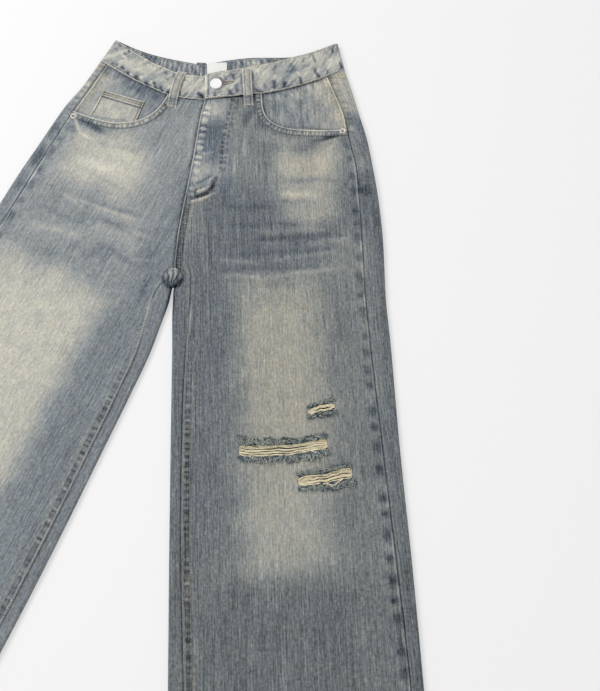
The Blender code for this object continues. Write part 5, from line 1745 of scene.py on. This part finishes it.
def stray_threads(name):
    """Loose threads above the rest of a rip. Returns points, faces and each point's tone."""
    rip = RIPS[name]
    parts = []
    for knots in STRAYS[name]:
        line = through(np.linspace(0, 1, len(knots)), knots, np.linspace(0, 1, 30))
        x = line[:, 0] * rip["long"]
        path = on_rip(rip, x, line[:, 1] * rip_reach(rip, x) + rip_bend(rip, x), None)
        parts.append(tubes(path[None] + (0, 0, 0.0016), np.full((1, 30), 0.00062), 6))
    points, faces = joined(parts)
    return points, faces, np.full(len(points), 1.1)


def fringe(name, seed, count, edge, kind):
    """Frayed warp ends along one edge of a rip (-1 above, +1 below): short curly hairs that
    stand off the edge, cross each other and lie down again. Each kind has its own reach, curl,
    thickness and stretch of the edge."""
    rip = RIPS[name]
    random = np.random.default_rng(seed)

    def each(low, high):
        """A random number for each hair."""
        return random.uniform(low, high, (count, 1))

    steps = 8
    share = np.linspace(0, 1, steps)
    x0 = each(*kind["stretch"]) * rip["long"]
    # tufts: some stretches of the edge are long and some short
    tuft = 0.70 + 0.42 * patches(x0, 0 * x0, 0.008, seed)
    root = edge * rip_reach(rip, x0) + rip_bend(rip, x0)
    root = root + edge * each(-0.0006, 0.0024)
    reach = each(0.30, 1.0) * kind["reach"] * tuft * rip_fray(rip, x0, edge)
    heading = np.where(each(0, 1) < kind["inwards"], -0.45, 1.0) * edge
    curl = each(-1, 1) * kind["curl"]
    phase = each(0, 6.28)
    turns = each(1.0, 2.6)
    y = root + heading * reach * np.sin(share * turns) + 0.0005 * np.sin(share * 7 + phase)
    x = x0 + curl * share**1.3 + 0.25 * kind["curl"] * np.cos(share * 6 + phase)
    limit = rip["long"] + 0.002
    paths = on_rip(rip, np.clip(x, -limit, limit), y, None)
    rise = each(0.2, 1.0) * kind["rise"]
    paths[..., 2] += 0.0003 + rise * np.sin(share * math.pi * 0.9) + 0.0003 * each(0, 1)
    radius = each(0.7, 1.0) * kind["radius"] * (1 - 0.4 * share)
    return tubes(paths, radius, 4)


FRAY_COLUMNS = ("reach", "curl", "radius", "rise", "part", "inwards", "stretch")
FRAY = {
    "dark": (0.0080, 0.0050, 0.00042, 0.0014, 0.46, 0.12, (-1.0, 1.0)),
    "pale": (0.0086, 0.0060, 0.00044, 0.0024, 0.36, 0.12, (-1.0, 1.0)),
    "blue": (0.0060, 0.0012, 0.00044, 0.0010, 0.18, 0.0, (-0.94, 0.96)),
}
RIP_HAIRS = {"upper": 80, "middle": 380, "lower": 260}
# Combs of blue warp beside a rip's lower edge: the rip, their stretch of it, how many hairs and
# the share of them that lies over the opening
BLUE_COMBS = (
    ("middle", (-0.98, -0.62), 44, 0.0),
    ("middle", (0.52, 1.0), 70, 0.6),
    ("lower", (0.10, 0.50), 44, 0.2),
)


def rip_fill(name, seed, thread, frays):
    """A rip's crosswise threads, and its frayed edges in worn shades of blue."""
    threads = [weft_threads(name, seed)] + ([stray_threads(name)] if STRAYS[name] else [])
    weft = mesh_piece("rip_threads_%s_weft" % name, *joined([part[:2] for part in threads]),
                      [thread], tone=np.concatenate([part[2] for part in threads]))
    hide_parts("rip_threads_" + name)
    made = [weft]
    for index, (shade, row) in enumerate(FRAY.items()):
        kind = dict(zip(FRAY_COLUMNS, row))
        count = int(RIP_HAIRS[name] * kind["part"])
        parts = [fringe(name, seed + 7 * index + 3 * side, count, side, kind) for side in (-1, 1)]
        for comb_rip, stretch, hairs, inwards in BLUE_COMBS:
            if shade == "blue" and comb_rip == name:
                comb = dict(kind, stretch=stretch, curl=0.0006, inwards=inwards)
                parts.append(fringe(name, seed + hairs, hairs, 1, comb))
        piece = mesh_piece("rip_fringe_%s_%s" % (name, shade), *joined(parts), [frays[shade]])
        made.append(piece)
    return made


# ------------------------------------------------------------------ stitching
def band_path(surface, up, start=0.0, stop=1.0):
    """A line along the waistband's grid, at this share of its height."""
    points = surface[0]
    row, part = divmod(up * (len(points) - 1), 1)
    line = points[int(row)] + (points[int(row) + 1] - points[int(row)]) * part
    return line[int(start * len(line)) : int(stop * len(line))]


def fly_stitch_line(offset):
    """A line beside the fly's topstitching."""
    knots = np.linspace(0, 1, len(FLY_STITCH))
    return beside(through(knots, FLY_STITCH, np.linspace(0, 1, 140)), offset)


def stitching(half, surface):
    """The stitches of one half by the colour of their thread, as rows of points on the cloth."""
    tan, grey, dark = [], [], []

    def on_front(rows, line, up=0.0, **settings):
        rows.append(stitch_row(surface_path(half, line, front_height) + (0, 0, up), **settings))

    for gap in (0.0026, 0.0093):
        on_front(tan, resampled(beside(half.mouth_line, -gap), 160)[2:-3], 0.0001, radius=0.00036)
    downs = np.linspace(0.075, 0.684, 500)
    for gap, first in ((0.0014, 0), (0.0105, 110)):
        on_front(tan, np.column_stack([half.edge("inseam", downs) + gap, downs])[first:])
    if half.side > 0:
        centre = resampled(half.centre, 200)
        for gap in (0.0036, 0.0088):
            on_front(dark, beside(centre, gap)[118:187], pitch=0.0040)
        on_front(tan, resampled(fly_stitch_line(0.0), 150))
        on_front(tan, resampled(fly_stitch_line(0.0062)[:98], 110))
    hips = np.linspace(half.side_down + 0.004, half.mouth[1] + 0.004, 60)
    side = np.column_stack([half.edge("side", hips) + 0.0022, hips])
    tan.append(stitch_row(surface_path(half, side, strip_height)))
    for gap in (0.002, 0.012):
        down = INSEAM - gap
        inner, outer = half.edge("inseam", down) + 0.001, half.edge("side", down) - 0.001
        across = np.linspace(inner, outer, 120)
        on_front(tan, np.column_stack([across, np.full(120, down)]))
    grey += [stitch_row(band_path(surface, up, 0.004, 0.60)) for up in (0.026, 0.962)]
    points = loop_surface(half)[0]
    grey += [stitch_row(points[1:-1, at], pitch=0.0031) for at in (3, 13)]
    grey += [stitch_row(points[at, 2:-2], pitch=0.0012, fill=0.9) for at in (2, 5, 8)]
    return {"tan": tan, "grey": grey, "dark": dark}


def strip_height(half, across, down):
    return top_level(down) + top_marks(half, across, down).height


def coin_stitches():
    """Two rows under the coin pocket's top edge and one down each side."""
    (a0, d0), (a1, d1), (a2, d2), (a3, d3) = COIN_POCKET
    rows = []

    def sew(across, down):
        z = facing_height(RIGHT, across, down) + LIGHT_DENIM + 0.0006
        rows.append(stitch_row(RIGHT.laid(across, down, z)))

    share = np.linspace(0.03, 0.97, 60)
    for gap in (0.0048, 0.0112):
        sew(a0 + (a1 - a0) * share, d0 + (d1 - d0) * share + gap + 0.0015 * (2 * share - 1) ** 2)
    share = np.linspace(0.02, 0.9, 50)
    sew(a0 + (a3 - a0) * share + 0.0030, d0 + (d3 - d0) * share)
    sew(a1 + (a2 - a1) * share - 0.0030, d1 + (d2 - d1) * share)
    return rows


def buttonhole_rows():
    """Close stitches round the buttonhole's slit, square to its edge."""
    across, down = BUTTON_AT
    middle_a, middle_d = across + HOLE_OFFSET, down - HOLE_OFFSET * HOLE_SLOPE
    turns = np.linspace(0, 2 * math.pi, 74, endpoint=False)
    cos, sin = math.cos(HOLE_SLOPE), math.sin(HOLE_SLOPE)
    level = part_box("waistband_left")[1][2] + 0.0002
    lines = []
    for reach in (0.0, 1.0):
        x = np.cos(turns) * (HOLE_LENGTH / 2 - 0.003 + 0.0022 * reach)
        y = np.sin(turns) * (0.0006 + 0.0026 * reach)
        lines.append(LEFT.laid(middle_a + x * cos - y * sin, middle_d - x * sin - y * cos, level))
    inner, outer = lines
    paths = inner[:, None] + (outer - inner)[:, None] * np.array([0.0, 0.3, 0.7, 1.0])[:, None]
    paths[..., 2] += np.array([-0.0006, 0.0004, 0.0004, -0.0004])
    radius = np.broadcast_to([0.0004, 0.00052, 0.00052, 0.0004], (74, 4))
    return [tubes(paths, radius, 4)]


# ------------------------------------------------------------------ stage
def linked(made):
    bpy.context.scene.collection.objects.link(made)
    return made


def stage():
    """A wide pale floor, a camera above it and soft light from a large lamp and the sky."""
    made, tree, shader, place = new_material("pale floor", "Object")
    grain = place.noise(scale=60.0, detail=2.0)
    finished(tree, shader, grain.mixed(linear(247, 245, 246), linear(249, 247, 248)),
             0.9 + (grain - 0.5) * 0.1)
    # the camera sees a floor that is half lit evenly, so that it stays white from side to side
    even = tree.out("ShaderNodeEmission", Color=linear(248, 248, 248), Strength=1.0)
    seen = tree.out("ShaderNodeLightPath", None, "Is Camera Ray") * 0.5
    lit = Wire(tree.tree, shader.outputs[0])
    mixed = tree.out("ShaderNodeMixShader", _0=seen, _1=lit, _2=even)
    tree.tree.links.new(mixed.socket, tree.tree.nodes["Material Output"].inputs["Surface"])
    size, level = 6.0, -0.0002
    mesh = bpy.data.meshes.new("floor")
    mesh.from_pydata([(-size, -size, level), (size, -size, level), (size, size, level),
                      (-size, size, level)], [], [(0, 1, 2, 3)])
    mesh.materials.append(made)
    linked(bpy.data.objects.new("floor", mesh))

    sky = bpy.data.worlds.new("soft sky")
    sky.use_nodes = True
    background = sky.node_tree.nodes["Background"]
    background.inputs["Color"].default_value = (1.0, 0.995, 0.99, 1)
    background.inputs["Strength"].default_value = 0.62
    bpy.context.scene.world = sky

    lamp = bpy.data.lights.new("large softbox", "AREA")
    lamp.shape = "RECTANGLE"
    lamp.size, lamp.size_y = 1.6, 1.2
    lamp.energy = 46.0
    softbox = linked(bpy.data.objects.new("large softbox", lamp))
    softbox.location = (-1.7, 1.0, 2.0)
    aim = Vector((0.1, 0.1, 0.0)) - softbox.location
    softbox.rotation_euler = aim.to_track_quat("-Z", "Y").to_euler()

    view = bpy.data.cameras.new("camera")
    view.lens = 40.84
    view.sensor_width = 36.0
    camera = linked(bpy.data.objects.new("camera", view))
    camera.location = (0.2759, -0.27186, 0.997)
    camera.rotation_euler = (math.radians(18), 0, 0)
    bpy.context.scene.camera = camera
    bpy.context.scene.view_settings.view_transform = "Standard"


# ------------------------------------------------------------------ the garment
def declare(made, with_pieces=()):
    """Reads a cloth's own pattern map, which is its flat cut in metres, and the loops of its
    triangles."""
    mesh = made.data
    mesh.calc_loop_triangles()
    flat = np.empty(2 * len(mesh.loops), np.float32)
    mesh.uv_layers[0].data.foreach_get("uv", flat)
    loops = np.empty(3 * len(mesh.loop_triangles), np.int32)
    mesh.loop_triangles.foreach_get("loops", loops)
    flat = flat.reshape(-1, 2).astype(float)


# What each cloth lies on, and what is sewn to it or set in it
CARRIES = {
    "front_left": ["hem_left", "stitching_tan_left", "stitching_dark_left", "knot"],
    "front_right": ["hem_right", "stitching_tan_right"],
    "facing_left": ["rivet_left"],
    "facing_right": ["rivet_right"],
    "waistband_left": ["button", "stitching_grey_left"],
    "waistband_right": ["stitching_grey_right"],
}


def main():
    denim = denim_material("faded denim")
    inside = denim_material("denim inside", streaks=0.8, tone_shift=-0.09)
    band_denim = denim_material("waistband denim", streaks=0.40)
    band_inside = denim_material("waistband lining denim", streaks=0.45, tone_shift=-0.07)
    cream = thread_material("undyed thread", (112, 102, 72), (242, 231, 199), 260.0, True)
    frays = {
        "dark": thread_material("indigo fray", (52, 64, 72), (106, 120, 124), 500.0),
        "pale": thread_material("bleached fray", (140, 148, 144), (196, 200, 188), 500.0),
        "blue": thread_material("blue fray", (62, 84, 106), (120, 142, 158), 500.0),
    }
    threads = {
        "tan": thread_material("tan stitching", (118, 106, 98), (172, 160, 146), 500.0),
        "grey": thread_material("worn grey stitching", (146, 138, 132), (206, 200, 192), 500.0),
        "dark": thread_material("faded brown stitching", (74, 70, 72), (128, 120, 116), 500.0),
    }
    white_metal = metal_material("white plated metal", (250, 249, 250), (232, 230, 232), 0.5, 0.05)
    old_metal = metal_material("worn metal", (232, 224, 216), (172, 156, 146), 0.4, 0.4)
    tape = label_material()
    both = [denim, inside]

    sheets, extras = {}, {}
    for half in (LEFT, RIGHT):
        side = half.name
        sheets["front_" + side] = front_panel(half, both)
        sheets["back_" + side] = back_panel(half, both)
        sheets["yoke_" + side] = yoke(half, both)
        surface = waistband_surface(half)
        sheets["waistband_" + side] = waistband(half, surface, [band_denim, band_inside])
        sheets["facing_" + side] = facing(half, [denim])
        sheets["back_pocket_" + side] = back_pocket(half, [denim])
        sheets["loop_front_" + side] = front_loop(half, both)
        middle = half.place(*BACK_LOOP_AT[side])
        turn = half.side * half.lean
        sheets["loop_back_" + side] = back_loop("back_" + side, middle, turn, both)
        rows = stitching(half, surface)
        rows["tan"] += coin_stitches() if half.side < 0 else buttonhole_rows()
        for shade, sewn in rows.items():
            if sewn:
                name = "stitching_%s_%s" % (shade, side)
                extras[name] = mesh_piece(name, *joined(sewn), [threads[shade]])
        extras["rivet_" + side] = rivet(half, old_metal)
        extras["hem_" + side] = mouth_hem(half, denim)
    sheets["coin_pocket"] = coin_pocket([denim])
    rise = BACK_RISE + CENTRE_LOOP_UP
    middle = (CROTCH[0] + BACK_SLANT * rise, CROTCH[1] + rise)
    sheets["loop_back_centre"] = back_loop("back_centre", middle, -BACK_SLANT, both)
    sheets["label"] = label(tape)
    extras["knot"] = crotch_knot(denim)
    extras["button"] = button(white_metal)
    loose = [piece for index, name in enumerate(RIPS)
             for piece in rip_fill(name, 11 + 20 * index, cream, frays)]
    for name, made in sheets.items():
        on_it = [extras[other] for other in CARRIES.get(name, ())]
        declare(made, on_it + (loose if name == "front_left" else []))
    stage()


main()
